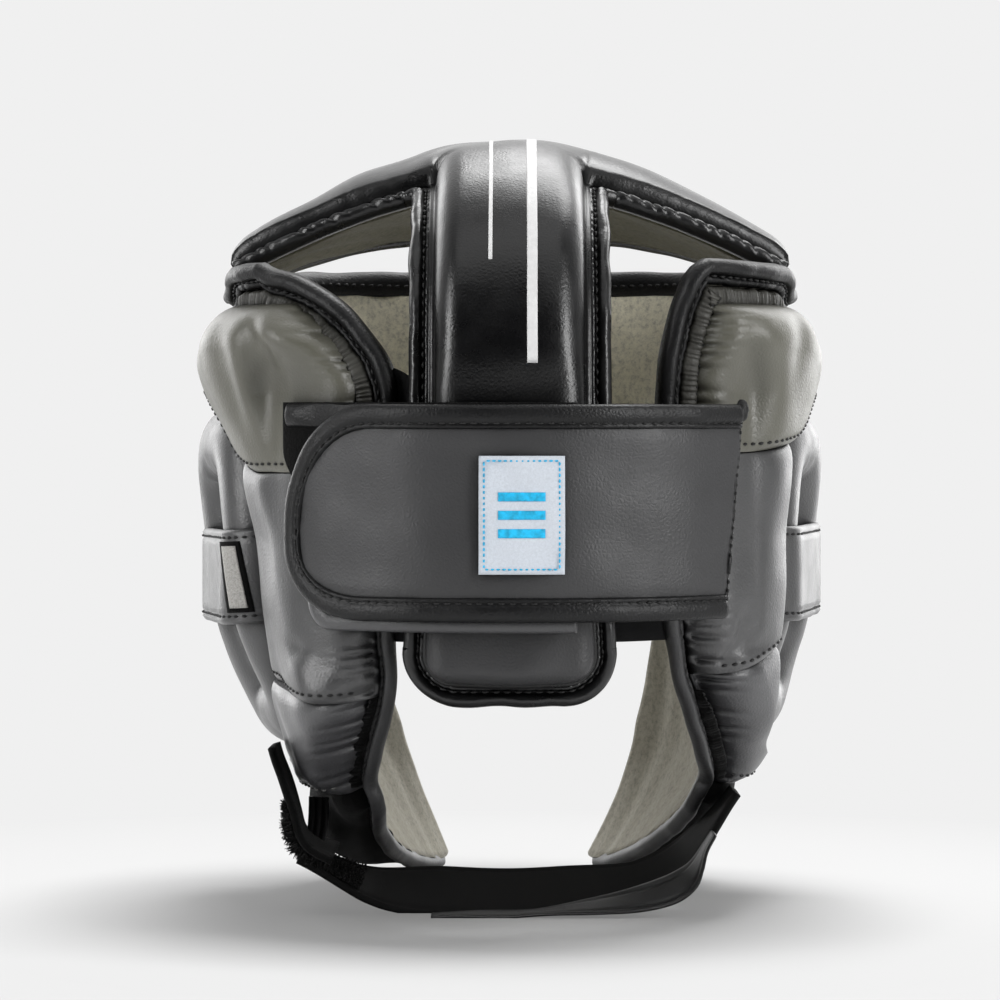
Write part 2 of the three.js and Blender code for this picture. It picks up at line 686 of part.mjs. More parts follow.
function crownHeight(u, v) {
  const { x, along } = crownCross(u, v);
  const onStrap = rise((STRAP_HALF - Math.abs(x) - STRAP_VALLEY) / 10);
  const strapEnd = along < occipitalStart ? 1 : 0;
  const fromRim = Math.min(along - armFront, armRear - along) + 2;
  const onArm = v > 1 && v < 2 ? rise(fromRim / 26) : 0;
  const outwards = clamp((Math.abs(x) - STRAP_HALF) / (CROWN_HALF - STRAP_HALF), 0, 1);
  const armEnd = lerp(1, 0.55, outwards) * rise((CROWN_HALF - Math.abs(x)) / 8);
  const raised = 1 - (1 - onStrap * strapEnd) * (1 - onArm * armEnd);
  return PAD_START + CROWN_EDGE + CROWN_RAISE * raised;
}

function addCrown() {
  const surface = (u, v) => {
    const { x, along } = crownCross(u, v);
    return crownSurface(x, along);
  };
  const us = spaced([-2, -1.9, -1, -0.8, 0.8, 1, 1.9, 2], [2, 3, 1, 4, 1, 3, 2]);
  const meet = 2 + (occipitalStart - armRear) / (crownLength - armRear);
  const vs = spaced([0, 1, 2, meet - 0.01, meet + 0.01, 2.92, 3], [3, 6, 7, 1, 2, 3]);
  const panel = { us, vs, surface, keep: isCross, inner: () => PAD_START, outer: crownHeight };
  add("crown_panel", "black", patchSolid({ ...panel, press: pressByClosure }));
  const thin = { us: spaced([-2, -1, 1, 2], [3, 4, 3]), vs: spaced([0, 1, 2, 2.92, 3], [3, 4, 8, 2]) };
  const lining = { ...thin, surface, keep: isCross, inner: () => 0, outer: () => LINING };
  add("crown_lining", "suede", patchSolid(lining));
  addOccipitalPad();
  addCrownBindings();
}

// The grey raised pad on the lower end of the back strap.
function addOccipitalPad() {
  const seat = PAD_START + CROWN_EDGE + SEAM_GAP;
  const margin = 2.5;
  const bottom = crownLength - margin;
  const top = occipitalStart + 5;
  const corner = STRAP_CORNER - margin;
  const surface = (u, v) => {
    const along = lerp(top, bottom, v);
    const half = strapHalf(along) - margin;
    const near = clamp(corner - (bottom - along), 0, corner);
    return crownSurface((u * 2 - 1) * (half - corner + Math.sqrt(corner ** 2 - near ** 2)), along);
  };
  const outer = (u, v) => {
    const across = rise(((0.5 - Math.abs(u - 0.5)) * 2 * STRAP_HALF) / 9);
    const end = rise(((1 - v) * (bottom - top)) / 9);
    return seat + 1.5 + (CROWN_RAISE - 2.5) * across * end;
  };
  const shape = { us: crowded(8), vs: spaced([0, 0.8, 1], [3, 4]), surface, inner: () => seat, outer };
  add("occipital_pad", "grey", patchSolid({ ...shape, press: pressByClosure }));
}

// Binding round the back strap, along the arms, and round the two vents behind the forehead.
function addCrownBindings() {
  const level = PAD_START + 2.2;
  const section = ellipse(6, STRAP_BINDING_HALF, level - 3, level + 3);
  const clear = STRAP_BINDING_HALF + 0.6;
  const at = (x, along) => crownSurface(x, along);

  const side = (sign, list) => list.map((along) => at(sign * (strapHalf(along) + clear), along));
  const straight = spaced([armRear + 12, crownLength - STRAP_CORNER], [13]);
  const turn = spaced([0, Math.PI], [10]).map((angle) => {
    const reach = STRAP_CORNER + clear + 0.4;
    const centre = strapHalf(crownLength) - STRAP_CORNER;
    const x = centre * Math.sign(Math.cos(angle)) + reach * Math.cos(angle);
    return at(x, crownLength - STRAP_CORNER + reach * Math.sin(angle));
  });
  const loop = [...side(1, straight), ...turn.slice(1, -1), ...side(-1, straight.reverse())];
  add("back_strap_binding", "binding", sweepSolid(stationsOn(loop), section));

  for (const { name, sign } of SIDES) {
    const rim = (edge, u) => {
      const { x, along } = crownCross(sign * u, edge);
      return at(x, along + (edge === 1 ? -clear : clear) * 1.28);
    };
    const rear = spaced([1.1, 1.93], [7]).map((u) => rim(2, u));
    add(`arm_binding_${name}`, "binding", sweepSolid(stationsOn(rear), section));
    const front = spaced([1.96, 1.16], [6]).map((u) => rim(1, u));
    const down = spaced([armFront - clear - 3, 3], [4]).map((along) => at(sign * (STRAP_HALF + clear), along));
    add(`front_vent_binding_${name}`, "binding", sweepSolid(stationsOn([...front, ...down]), section));
  }
}

// The padded oval that stands round the ear, and the leather strap across it.
function addEarGuard({ name, sign }) {
  const perDegree = wallPoint(EAR_THETA + 0.5, EAR_MIDDLE).distanceTo(wallPoint(EAR_THETA - 0.5, EAR_MIDDLE));
  const stadium = 2.6;
  const round = (value) => Math.sign(value) * Math.abs(value) ** (2 / stadium);
  const frames = spaced([0, 2 * Math.PI], [26])
    .slice(0, -1)
    .map((angle) => {
      const theta = EAR_THETA + (EAR_HALF_WIDTH * round(Math.cos(angle))) / perDegree;
      const forward = smoothstep(-Math.cos(angle), -0.6, 1) - 1.1 * smoothstep(-Math.sin(angle), 0, 1);
      const frame = wallSurface(sign * theta, EAR_MIDDLE + EAR_HALF_HEIGHT * round(Math.sin(angle)));
      return { ...frame, lift: EAR_FRONT_LIFT * forward };
    });
  const low = PAD_START;
  const high = PAD_START + 2 * EAR_ROLL;
  const section = spaced([0, 180], [6]).map((angle) => [
    EAR_ROLL * Math.cos(degToRad(angle)),
    high - EAR_ROLL * (1 - Math.sin(degToRad(angle))),
  ]);
  section.push([-EAR_ROLL, low], [EAR_ROLL, low]);
  const raised = section.map(([across, height]) => [across, height, smoothstep(height, low, low + EAR_ROLL)]);
  const stationsRound = stationsOn(frames, true).map((station, i) => ({ ...station, lift: frames[i].lift }));
  add(`ear_guard_${name}`, "grey", sweepSolid(stationsRound, raised, { loop: true }));

  const half = EAR_STRAP_HEIGHT / 2;
  const around = EAR_ROLL + 2;
  const turn = spaced([0, 90], [4]).map((angle) => ({
    across: EAR_HALF_WIDTH + around * Math.cos(degToRad(angle)),
    lift: low + EAR_ROLL + around * Math.sin(degToRad(angle)),
  }));
  const mirrored = turn.map(({ across, lift }) => ({ across: -across, lift: lift + EAR_FRONT_LIFT })).reverse();
  const profile = [...turn, ...mirrored];
  const strap = profile.map(({ across, lift }) => {
    const { point, normal } = wallSurface(sign * (EAR_THETA + across / perDegree), EAR_MIDDLE);
    return { point: point.addScaledVector(normal, lift), normal };
  });
  const upright = new THREE.Vector3(0, 0, 1);
  const stations = stationsOn(strap).map((s, i) => {
    const after = strap[Math.min(i + 1, strap.length - 1)].point;
    const before = strap[Math.max(i - 1, 0)].point;
    const normal = after.clone().sub(before).cross(upright).normalize();
    if (normal.dot(s.normal) < 0) normal.negate();
    return { point: s.point, normal, across: upright };
  });
  add(`ear_strap_${name}`, "grey", sweepSolid(stations, rectangle(-half, half, 0, EAR_STRAP_THICKNESS)));
}

// The wide closure strap with its free end to the left, the flap under it, and the elastic inside both.
function closureEdge(along, inset, end) {
  const reach = (corner, height, power) => {
    const near = clamp((corner - (along - end)) / corner, 0, 1);
    return height * (1 - near ** power) ** (1 / power);
  };
  const upper = reach(CLOSURE_UPPER_CORNER - inset / 2, CLOSURE_TOP - CLOSURE_TIP_Z - inset, 2.2);
  const lower = reach(CLOSURE_LOWER_CORNER - inset / 2, CLOSURE_TIP_Z - CLOSURE_BOTTOM - inset, 2.3);
  return { low: CLOSURE_TIP_Z - lower, high: CLOSURE_TIP_Z + upper };
}

function addClosure() {
  const inset = CLOSURE_BINDING + GAP;
  const start = closureStart + inset;
  const sewnEnd = (z) => closureEnd - CLOSURE_SLANT * ((CLOSURE_TOP - z) / (CLOSURE_TOP - CLOSURE_BOTTOM));
  const panel = (u, v) => {
    const along = lerp(start, sewnEnd(lerp(CLOSURE_BOTTOM, CLOSURE_TOP, v)), u);
    const { low, high } = closureEdge(along, inset, start);
    return closureSurface(along, lerp(low, high, v));
  };
  const us = spaced([0, 0.1, 1], [5, 9]);
  const outer = () => CLOSURE_THICKNESS;
  const shape = { us, vs: spaced([0, 1], [3]), surface: panel, inner: () => 0, outer };
  add("closure_strap", "grey", patchSolid(shape));

  const line = CLOSURE_BINDING / 2;
  const tip = closureStart + line;
  const stretch = spaced([0, 1], [20]).map((t) => lerp(tip, closureEnd, t ** 2.2));
  const edgeAt = (along, edge) => {
    const z = closureEdge(along, line, tip)[edge];
    return closureSurface(Math.min(along, sewnEnd(z)), z);
  };
  const upper = stretch.map((along) => edgeAt(along, "high")).reverse();
  const lower = stretch.slice(1).map((along) => edgeAt(along, "low"));
  const outline = [...upper, ...lower];
  const section = rectangle(-line, line, 0, CLOSURE_THICKNESS + 1.2);
  add("closure_binding", "binding", sweepSolid(stationsOn(outline), section));

  addClosureBase();
  addLabel();
  addElastic();
}

// The flap sewn to the left side, which the closure strap grips.
function addClosureBase() {
  const [from, to] = [closureAlong(CLOSURE_LEFT + 2), closureAlong(CLOSURE_BASE_RIGHT)];
  const corner = 10;
  const surface = (u, v) => {
    const along = lerp(from, to, u);
    const near = clamp(corner - (along - from), 0, corner);
    const cut = corner - Math.sqrt(corner ** 2 - near ** 2);
    return closureSurface(along, lerp(CLOSURE_BASE_BOTTOM + cut, CLOSURE_TOP, v));
  };
  const outer = () => -SEAM_GAP;
  const inner = () => -SEAM_GAP - CLOSURE_BASE_THICKNESS;
  const us = spaced([0, 0.08, 1], [3, 7]);
  add("closure_base", "binding", patchSolid({ us, vs: spaced([0, 1], [2]), surface, inner, outer }));
}

function addLabel() {
  const seat = CLOSURE_THICKNESS + GAP;
  const middle = closureAlong(LABEL_MIDDLE_X);
  const surface = (u, v) =>
    closureSurface(middle + (u - 0.5) * LABEL_WIDTH, LABEL_MIDDLE_Z + (v - 0.5) * LABEL_HEIGHT);
  const grid = { us: spaced([0, 1], [3]), vs: [0, 1] };
  add("woven_label", "label", patchSolid({ ...grid, surface, inner: () => seat, outer: () => seat + 1 }));
}

// The elastic that joins the two sides behind the back strap.
function addElastic() {
  const [low, high] = [104, 187];
  const surface = (u, v) => {
    const z = lerp(low, high, v);
    return wallSurface(lerp(edges.right(z) + 6, 360 - edges.left(z) - 6, u), z);
  };
  const grid = { us: spaced([0, 1], [8]), vs: spaced([0, 1], [3]) };
  add("elastic_band", "webbing", patchSolid({ ...grid, surface, inner: () => 0.2, outer: () => 2 }));
}

// A strap through rows of its middle line seen from behind, leaning forward by an angle at each row.
function strapStations(rows, y, steps) {
  const spread = withDistance(rows, "x", "z");
  const [x, z, lean] = ["x", "z", "lean"].map((name) => column(spread, "along", name));
  const total = spread[spread.length - 1].along;
  return spaced([0, total], [steps]).map((along) => {
    const [from, to] = [along - 0.5, along + 0.5];
    const tangent = new THREE.Vector3(x(to) - x(from), 0, z(to) - z(from)).normalize();
    const up = new THREE.Vector3(-tangent.z, 0, tangent.x).multiplyScalar(tangent.x < 0 ? -1 : 1);
    const angle = degToRad(lean(along));
    const across = up.multiplyScalar(Math.cos(angle)).add(new THREE.Vector3(0, Math.sin(angle), 0));
    const normal = across.clone().cross(tangent).normalize();
    if (normal.y > 0) normal.negate();
    return { point: new THREE.Vector3(x(along), y, z(along)), normal, across };
  });
}

function addChinStrap() {
  const half = CHIN_STRAP_WIDTH / 2;
  const strap = rectangle(-half, half, 0, CHIN_STRAP_THICKNESS);
  const onFloor = (point) => point.setZ(Math.max(point.z, 0));
  add("chin_strap", "webbing", sweepSolid(strapStations(CHIN_ROWS, CHIN_STRAP_Y, 22), strap, { press: onFloor }));
  const grip = rectangle(-half + 1, half - 1, 0, CHIN_STRAP_THICKNESS);
  add("chin_tab", "webbing", sweepSolid(strapStations(CHIN_TAB_ROWS, CHIN_TAB_Y, 10), grip));
}

addForehead();
addCrown();
SIDES.forEach(addSidePanels);
SIDES.forEach(addEarGuard);
addClosure();
addChinStrap();

export default headgear;
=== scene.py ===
"""Padded kickboxing headgear, seen from behind, standing on its chin strap and the tips of its cheeks.

Every shape is worked out in millimetres, +X to the wearer's right, +Y to the face and +Z up, and turned
into metres when its mesh is made.
"""

import json
import math

import bpy
import numpy as np
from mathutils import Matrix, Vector

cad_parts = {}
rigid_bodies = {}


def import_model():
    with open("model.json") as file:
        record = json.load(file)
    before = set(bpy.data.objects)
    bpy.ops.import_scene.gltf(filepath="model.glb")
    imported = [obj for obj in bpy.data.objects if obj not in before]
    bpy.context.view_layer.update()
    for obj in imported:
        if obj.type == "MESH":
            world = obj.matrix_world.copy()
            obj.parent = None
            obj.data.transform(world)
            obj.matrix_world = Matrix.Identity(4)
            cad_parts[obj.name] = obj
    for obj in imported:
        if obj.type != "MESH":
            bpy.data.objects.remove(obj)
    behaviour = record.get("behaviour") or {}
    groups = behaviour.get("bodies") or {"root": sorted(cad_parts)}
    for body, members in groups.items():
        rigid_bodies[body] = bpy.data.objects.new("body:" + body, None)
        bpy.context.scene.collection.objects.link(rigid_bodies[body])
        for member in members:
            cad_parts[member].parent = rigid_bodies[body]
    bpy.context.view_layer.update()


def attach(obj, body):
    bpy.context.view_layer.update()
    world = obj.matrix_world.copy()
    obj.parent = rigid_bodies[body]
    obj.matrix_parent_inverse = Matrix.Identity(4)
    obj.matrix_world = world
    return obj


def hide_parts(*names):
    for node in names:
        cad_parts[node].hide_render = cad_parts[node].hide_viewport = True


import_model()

MM = 0.001
UP = np.array([0.0, 0.0, 1.0])
BACK = np.array([0.0, -1.0, 0.0])
HEAD_MIDDLE = (0, -10, 150)

# Steps over which the slope of a surface is measured: in degrees or millimetres, and as a share of a piece
SURFACE_STEP = 0.4
PAD_STEP = 0.004
CROWN_STEP = 0.002

# The shell of the headgear
TOP_EDGE = 235  # height of the top edge of the forehead and side panels
TOP_DIP = 6.5  # how much lower the top edge is under the crown's arms
BROW = 190  # height of the lower edge of the forehead
WALL_MIDDLE_Y = -4
SQUARENESS = 2.3  # exponent of the wall's plan: 2 is an ellipse
LINING = 1.6
SEAM_GAP = 0.4  # between two panels that meet at a seam
SEAM_STITCHES = 3.2  # from a seam to the stitches beside it
PAD_START = 2.5  # where the padding starts above the wall
EDGE = 5  # thickness of a panel where it goes into its binding
LEDGE_HEIGHT = 2  # thickness of the flat margin beside a gathered strip
LEDGE = 5.5  # width of that margin
EAR_REAR_DROP = 5  # how much lower the rear roll of an ear guard is
PATCH_SLANT = -0.2  # how far the ear patch leans, per unit of height
PLEATS_END = 172  # height where the pleated strip beside the upper pad goes under the closure
GUSSET_TOP = 85  # height where the gusset beside the lower pad starts, and where it stops
GUSSET_BOTTOM = 50
LEVEL_FROM = 190  # above these heights the upper padding stands out level from the wall
LEVEL_TO = 212
PUCKER = 2.4  # how far the creases beside a gathered seam reach into the pad
PUCKER_LENGTH = 7
PUCKER_PITCH = 4.4
SEWN_DIP = 2.6  # how far a pad is drawn in along a sewn side, and how far that reaches into it
SEWN_REACH = 2.2
MM_PER_DEGREE = 1.75  # round the wall

FOREHEAD_END = 57.5  # in degrees to each side of the face
FOREHEAD_MIDDLE = (0, 98, 212)
FOREHEAD_PAD = 31
UPPER_PAD = 28
REAR_PAD = 25
SEAM_PAD = {"left": 21, "right": 26}  # beside the ear guard: at the seam under the upper pad, and below it
MIDDLE_PAD = {"left": 17.5, "right": 26}
LOWER_PAD = {"left": 19, "right": 24}
LOWER_REAR_PAD = 23
LOWER_HEM = 13
CHEEK_PAD = 25
JAW_PAD = 11
JAW_BULGE = {"left": 9, "right": 4}  # how much thicker the jaw is under the ear

BEHIND_EAR = 106  # where the middle pads start, in degrees from the face
EAR_THETA = 86
EAR_MIDDLE = 127
EAR_HALF_WIDTH = 24
EAR_HALF_HEIGHT = 50
EAR_SQUARENESS = 2.6
EAR_ROLL = 15.5
EAR_FRONT_LIFT = 8  # how much prouder the front of the ear guard stands
EAR_STRAP_HEIGHT = 36

CROWN_HALF = 107  # where the crown has fallen by its full drop
ARM_END = 102  # from the middle to the end of an arm
CROWN_DROP = 38.3
CROWN_FALL_POWER = 1.6
ARM_FRONT_Y = 72
ARM_REAR_Y = -48
ARM_PIVOT_Y = -4
ARM_TAPER = 0.82
ARM_FRONT_TAPER = 0.46
STRAP_HALF = 28
STRAP_FLARE = 2
STRAP_CORNER = 12
CROWN_EDGE = 5
CROWN_RAISE = 10
OCCIPITAL_TOP = 148

CLOSURE_TOP = 190
CLOSURE_BOTTOM = 113
CLOSURE_MIDDLE = (5, -130, 151.5)
CLOSURE_TIP_Z = 143  # height of the left-most point of the closure strap
CLOSURE_UPPER_CORNER = 37  # how far the rounded end reaches along the strap, above and below the tip
CLOSURE_LOWER_CORNER = 35
CLOSURE_THICKNESS = 4
CLOSURE_LEFT = -79
CLOSURE_BASE_LEFT = -83.5
CLOSURE_BASE_TUCK = 14  # how far its edge runs back under the closure strap, below its upper corner
CLOSURE_RIGHT = 81
CLOSURE_SLANT = 9
CLOSURE_BASE_BOTTOM = 109
CLOSURE_BASE_RIGHT = 24
CLOSURE_BASE_THICKNESS = 3.2
LABEL_WIDTH = 29
LABEL_HEIGHT = 42
LABEL_MARGIN = 1.8  # from its edge to the sewn border
BAR_WIDTH = 16
BAR_HEIGHT = 3.2
BAR_PITCH = 6.5
LABEL_X = 4
LABEL_Z = 151

CHIN_STRAP_WIDTH = 26
CHIN_STRAP_Y = -42
CHIN_TAB_Y = -54

# Painted shade: the leather's colour and sheen are made darker in creases and gaps
PAINTED_SHADE_REACH = 14  # how far apart the sides of a crease or gap may be and still get painted shade
PAINTED_SHADE_SAMPLES = 6

STITCH_PITCH = 3.9
STITCH_LENGTH = 2.8
STITCH_RADIUS = 0.52
STITCH_RINGS = 4
STITCH_SIDES = 5


def table(names, *rows):
    """A table as one array for each named column."""
    return dict(zip(names.split(), np.array(rows, float).T))


# The wall's inner face, from the chin to the top edge: reach to each side, the face and the back
WALL = table(
    "z left right front back",
    (0, 30, 38, 128, 60),
    (25, 45, 57, 119, 76),
    (50, 62, 74, 112, 88),
    (75, 71, 79, 107, 95),
    (100, 77, 80, 104, 99),
    (150, 82, 82, 103, 102),
    (200, 88, 88, 103, 103),
    (222, 95.5, 95.5, 104.5, 101.5),
    (245, 111, 111, 106, 100),
)

# Where the panels stop, in degrees from the face: at the face opening and at the back
EDGES = table(
    "z face left right",
    (0, 44, 128, 106),
    (50, 38, 128, 106),
    (64, 39.5, 136, 118),
    (86, 42, 146, 130),
    (108, 45, 147.5, 135),
    (150, 51, 149, 138),
    (192, 57.5, 151, 141),
    (205, 57.5, 149, 141.5),
    (219, 57.5, 143, 141.5),
    (229, 57.5, 136, 142),
    (235, 57.5, 126, 142),
    (241, 57.5, 122, 139.5),
    (245, 57.5, 119, 134),
)

# Heights round the wall: the lower edge, and the seams between jaw, lower, middle and upper panels
SEAMS = {
    "left": table(
        "theta bottom jaw lower upper",
        (38, 16, 62, 92, 196),
        (46, 9.2, 62, 92, 196),
        (60, 10.3, 61, 92, 196),
        (80, 17, 58, 92, 196),
        (95, 25, 55, 92, 194),
        (103, 30, 53.5, 92, 186),
        (110, 34, 52.5, 91, 172),
        (118, 38, 51.5, 90, 167.5),
        (128, 44, 50, 88, 167),
        (152, 44, 50, 84, 167),
    ),
    "right": table(
        "theta bottom jaw lower upper",
        (38, 16, 62, 104, 196),
        (46, 8.7, 62, 104, 196),
        (60, 11.8, 61, 104, 196),
        (80, 23, 57, 104, 196),
        (95, 36, 53, 104, 194),
        (106, 44, 50, 103, 184),
        (112, 44, 50, 101, 179),
        (128, 44, 50, 92, 175),
        (152, 44, 50, 86, 172),
    ),
}

# The edge of the panels in front of and behind the ear guard
EAR_SIDE = table(
    "z before behind",
    (50, 79, 80),
    (58, 77, 82),
    (63, 72, 97),
    (70, 68, 104),
    (80, 66, 106),
    (175, 66, 106),
    (200, 66, 106),
)

# The inner face of the crown and back strap along the middle, from the forehead to the nape
CROWN = table(
    "y z",
    (97, 245),
    (82, 256),
    (50, 267),
    (12, 273.5),
    (-22, 274),
    (-55, 268),
    (-83, 252),
    (-102, 226),
    (-110.5, 192),
    (-112, 150),
    (-111, 112),
    (-107.5, 89),
)

# The inner face of the closure strap, seen from above
CLOSURE = table(
    "x y",
    (-92, -82),
    (-80, -96),
    (-60, -113),
    (-30, -128.5),
    (0, -133),
    (30, -129.5),
    (60, -115),
    (80, -98),
    (92, -84),
)

# The chin strap's middle line seen from behind, and how far it leans forward from upright
CHIN = table(
    "x z lean",
    (86, 44, 88),
    (82.2, 38.6, 87),
    (76, 30.2, 82),
    (71, 24.4, 74),
    (66, 18.5, 64),
    (60.5, 14, 57),
    (54, 10.4, 53),
    (46.5, 7.8, 52),
    (18.6, 5.5, 51),
    (-10, 5.4, 51),
    (-32, 5.6, 52),
    (-44, 6.6, 58),
    (-53, 8.5, 67),
    (-61, 11.4, 75),
    (-80, 20.2, 82),
)
CHIN_TAB = table(
    "x z lean",
    (-89.5, 62.5, 88),
    (-88, 57.5, 88),
    (-85.5, 51, 88),
    (-83.2, 44, 88),
    (-81.4, 38, 88),
    (-79.3, 30.2, 86),
    (-75, 25.2, 82),
    (-66, 20.8, 80),
)

# The smooth outer layer of the chin strap, which shows below it at the right, and the loop beside the tab
CHIN_LAYER_Y = -62
CHIN_LAYER = table(
    "x z lean",
    (76.5, 30.5, 88),
    (72.8, 24.5, 84),
    (70, 18.5, 70),
    (66.5, 13.6, 52),
    (60, 9.4, 45),
    (48, 5.8, 54),
    (33, 3.2, 70),
    (18.6, 1.5, 82),
    (2, 0.3, 89),
    (-30, -0.7, 89.5),
)
CHIN_LOOP_Y = -47
CHIN_LOOP = table(
    "x z lean",
    (-71.5, 43, 25),
    (-71.8, 34, 20),
    (-73, 25, 28),
)

# Hollows pressed into the pads: where they are, their half sizes and their depth
DENTS = {
    "left": table(
        "theta z theta_half z_half depth",
        (119.5, 206, 4.0, 20, 2.0),
        (129.5, 215, 2.8, 9, 3.0),
        (133, 205, 2.8, 9, 3.8),
        (136.5, 195, 2.8, 9, 3.8),
        (140, 98, 4, 7, 3.4),
        (134.5, 104, 4, 4, 2.5),
        (145, 91, 3, 6, 2),
        (126, 62, 5, 5, 1.5),
    ),
    "right": table(
        "theta z theta_half z_half depth",
        (133, 205, 2.8, 20, 3.0),
        (118, 214, 4, 16, 1.6),
        (127, 108, 2.2, 8, 4),
        (129, 97, 2.0, 6, 4.5),
        (123, 102, 5, 4, 2.5),
        (115, 64, 6, 3, 2.2),
        (113, 57, 6, 2.5, 1.6),
    ),
}


# Small tools


def mix(a, b, t):
    return a + (b - a) * t


def smooth(x, low, high):
    t = np.clip((x - low) / (high - low), 0, 1)
    return t * t * (3 - 2 * t)


def rise(share):
    """A quarter-round rise from 0 at an edge to 1 at a distance of one."""
    return np.sqrt(np.maximum(0, 1 - (1 - np.clip(share, 0, 1)) ** 2))


def signed_power(value, power):
    return np.sign(value) * np.abs(value) ** power


def hump(distance, reach):
    return np.exp(-((distance / reach) ** 2))


def column(rows, key, name):
    """A smooth function through one column of a table, straight beyond its ends."""
    xs, ys = rows[key], rows[name]
    order = np.arange(len(xs))
    before, after = np.maximum(order - 1, 0), np.minimum(order + 1, len(xs) - 1)
    slope = (ys[after] - ys[before]) / (xs[after] - xs[before])

    def at(x):
        x = np.asarray(x, float)
        inside = np.clip(x, xs[0], xs[-1])
        i = np.clip(np.searchsorted(xs, inside) - 1, 0, len(xs) - 2)
        span = xs[i + 1] - xs[i]
        t = (inside - xs[i]) / span
        level = mix(ys[i], ys[i + 1], t * t * (3 - 2 * t))
        value = level + t * (1 - t) * span * (slope[i] * (1 - t) - slope[i + 1] * t)
        return value + np.where(x < inside, slope[0], slope[-1]) * (x - inside)

    return at


def with_distance(rows, across, up):
    steps = np.hypot(np.diff(rows[across]), np.diff(rows[up]))
    return {**rows, "along": np.concatenate([[0], np.cumsum(steps)])}


def points(*xyz):
    return np.stack(np.broadcast_arrays(*[np.asarray(c, float) for c in xyz]), axis=-1)


def full_turn(count):
    """Evenly spaced angles round a circle."""
    return np.linspace(0, 2 * np.pi, count + 1)[:-1]


def stations(*spans):
    """Rows of steps, each given as (start, end, count), joined where one starts as the last one ends."""
    first, *others = [np.linspace(*span) for span in spans]
    return np.concatenate([first, *[row[1:] for row in others]])


def eased(count):
    """Steps from 0 to 1 that are finer towards both ends."""
    t = np.linspace(0, 1, count)
    return mix(t, smooth(t, 0, 1), 0.6)


def corner_loss(away, radius):
    """How much a rounded corner takes off a piece, at a distance from the piece's end."""
    near = np.clip(radius - away, 0, radius)
    return radius - np.sqrt(radius**2 - near**2)


def unit(vectors):
    return vectors / np.maximum(np.linalg.norm(vectors, axis=-1, keepdims=True), 1e-9)


def dot(a, b):
    return (a * b).sum(-1, keepdims=True)


def facing(vectors, direction):
    """The vectors, turned round where they point away from a direction."""
    return vectors * np.where(dot(vectors, direction) < 0, -1, 1)


class Wobble:
    """A smooth irregular wave along a line, about -1 to 1, the same at every run."""

    def __init__(self, seed, length):
        rng = np.random.default_rng(seed)
        self.rate = 2 * np.pi / length * rng.uniform(0.55, 1.6, 6)
        self.phase = rng.uniform(0, 2 * np.pi, 6)

    def __call__(self, s):
        return np.sin(np.multiply.outer(s, self.rate) + self.phase).sum(-1) / 3


class Gather:
    """Puckers along a sewn edge: 0 in the creases and 1 on the lobes between them."""

    def __init__(self, seed, length):
        self.shift = Wobble(seed, 5 * length)
        self.tall = Wobble(seed + 1, 3 * length)
        self.length = length

    def __call__(self, s):
        lobe = np.abs(np.sin(np.pi * s / self.length + 1.1 * self.shift(s))) ** 0.8
        return 1 - (1 - lobe) * np.clip(0.65 + 0.5 * self.tall(s), 0, 1.2)


# Surfaces that the pieces lie on


wall = {name: column(WALL, "z", name) for name in ("left", "right", "front", "back")}
edges = {name: column(EDGES, "z", name) for name in ("face", "left", "right")}
ear_side = {name: column(EAR_SIDE, "z", name) for name in ("before", "behind")}
SIGNS = {"left": -1, "right": 1}


def seam(side, name):
    return column(SEAMS[side], "theta", name)


def top_edge(theta):
    return TOP_EDGE - TOP_DIP * smooth(theta, 58, 70) * (1 - smooth(theta, 101, 116))


def level_out(point):
    """Straight away from the upright axis."""
    return point * (1, 1, 0)


def from_head(point):
    """Away from the middle of the head."""
    return point - HEAD_MIDDLE


def framed(place, u, v, step, outward):
    """Points of a surface and its outward normals."""
    point = place(u, v)
    along_u = place(u + step, v) - place(u - step, v)
    along_v = place(u, v + step) - place(u, v - step)
    normal = unit(np.cross(along_u, along_v))
    return point, facing(normal, outward(point))


def wall_point(theta, z):
    angle = np.radians(theta)
    sin, cos = np.sin(angle), np.cos(angle)
    power = 2 / SQUARENESS
    half = np.where(sin < 0, wall["left"](z), wall["right"](z))
    reach = np.where(cos < 0, wall["back"](z), wall["front"](z))
    x = half * signed_power(sin, power)
    y = WALL_MIDDLE_Y + reach * signed_power(cos, power)
    return points(x, y, z)


def wall_surface(theta, z):
    return framed(wall_point, theta, z, SURFACE_STEP, level_out)


crown_rows = with_distance(CROWN, "y", "z")
crown_y = column(crown_rows, "along", "y")
crown_z = column(crown_rows, "along", "z")
crown_length = crown_rows["along"][-1]
crown_line = np.linspace(0, crown_length, 2000)
arm_front = crown_line[np.argmax(crown_y(crown_line) < ARM_FRONT_Y)]
arm_rear = crown_line[np.argmax(crown_y(crown_line) < ARM_REAR_Y)]
arm_pivot = crown_line[np.argmax(crown_y(crown_line) < ARM_PIVOT_Y)]
occipital_start = crown_line[np.argmax((crown_y(crown_line) < 0) & (crown_z(crown_line) < OCCIPITAL_TOP))]


def crown_point(x, along):
    dy = crown_y(along + 0.5) - crown_y(along - 0.5)
    dz = crown_z(along + 0.5) - crown_z(along - 0.5)
    fall = CROWN_DROP * (np.abs(x) / CROWN_HALF) ** CROWN_FALL_POWER / np.hypot(dy, dz)
    return points(x, crown_y(along) - dz * fall, crown_z(along) + dy * fall)


def crown_surface(x, along):
    return framed(crown_point, x, along, SURFACE_STEP, from_head)


closure_rows = with_distance(CLOSURE, "x", "y")
closure_along = column(closure_rows, "x", "along")
closure_x = column(closure_rows, "along", "x")
closure_y = column(closure_rows, "along", "y")
closure_y_at_x = column(closure_rows, "x", "y")
closure_start = float(closure_along(CLOSURE_LEFT))
closure_end = float(closure_along(CLOSURE_RIGHT))


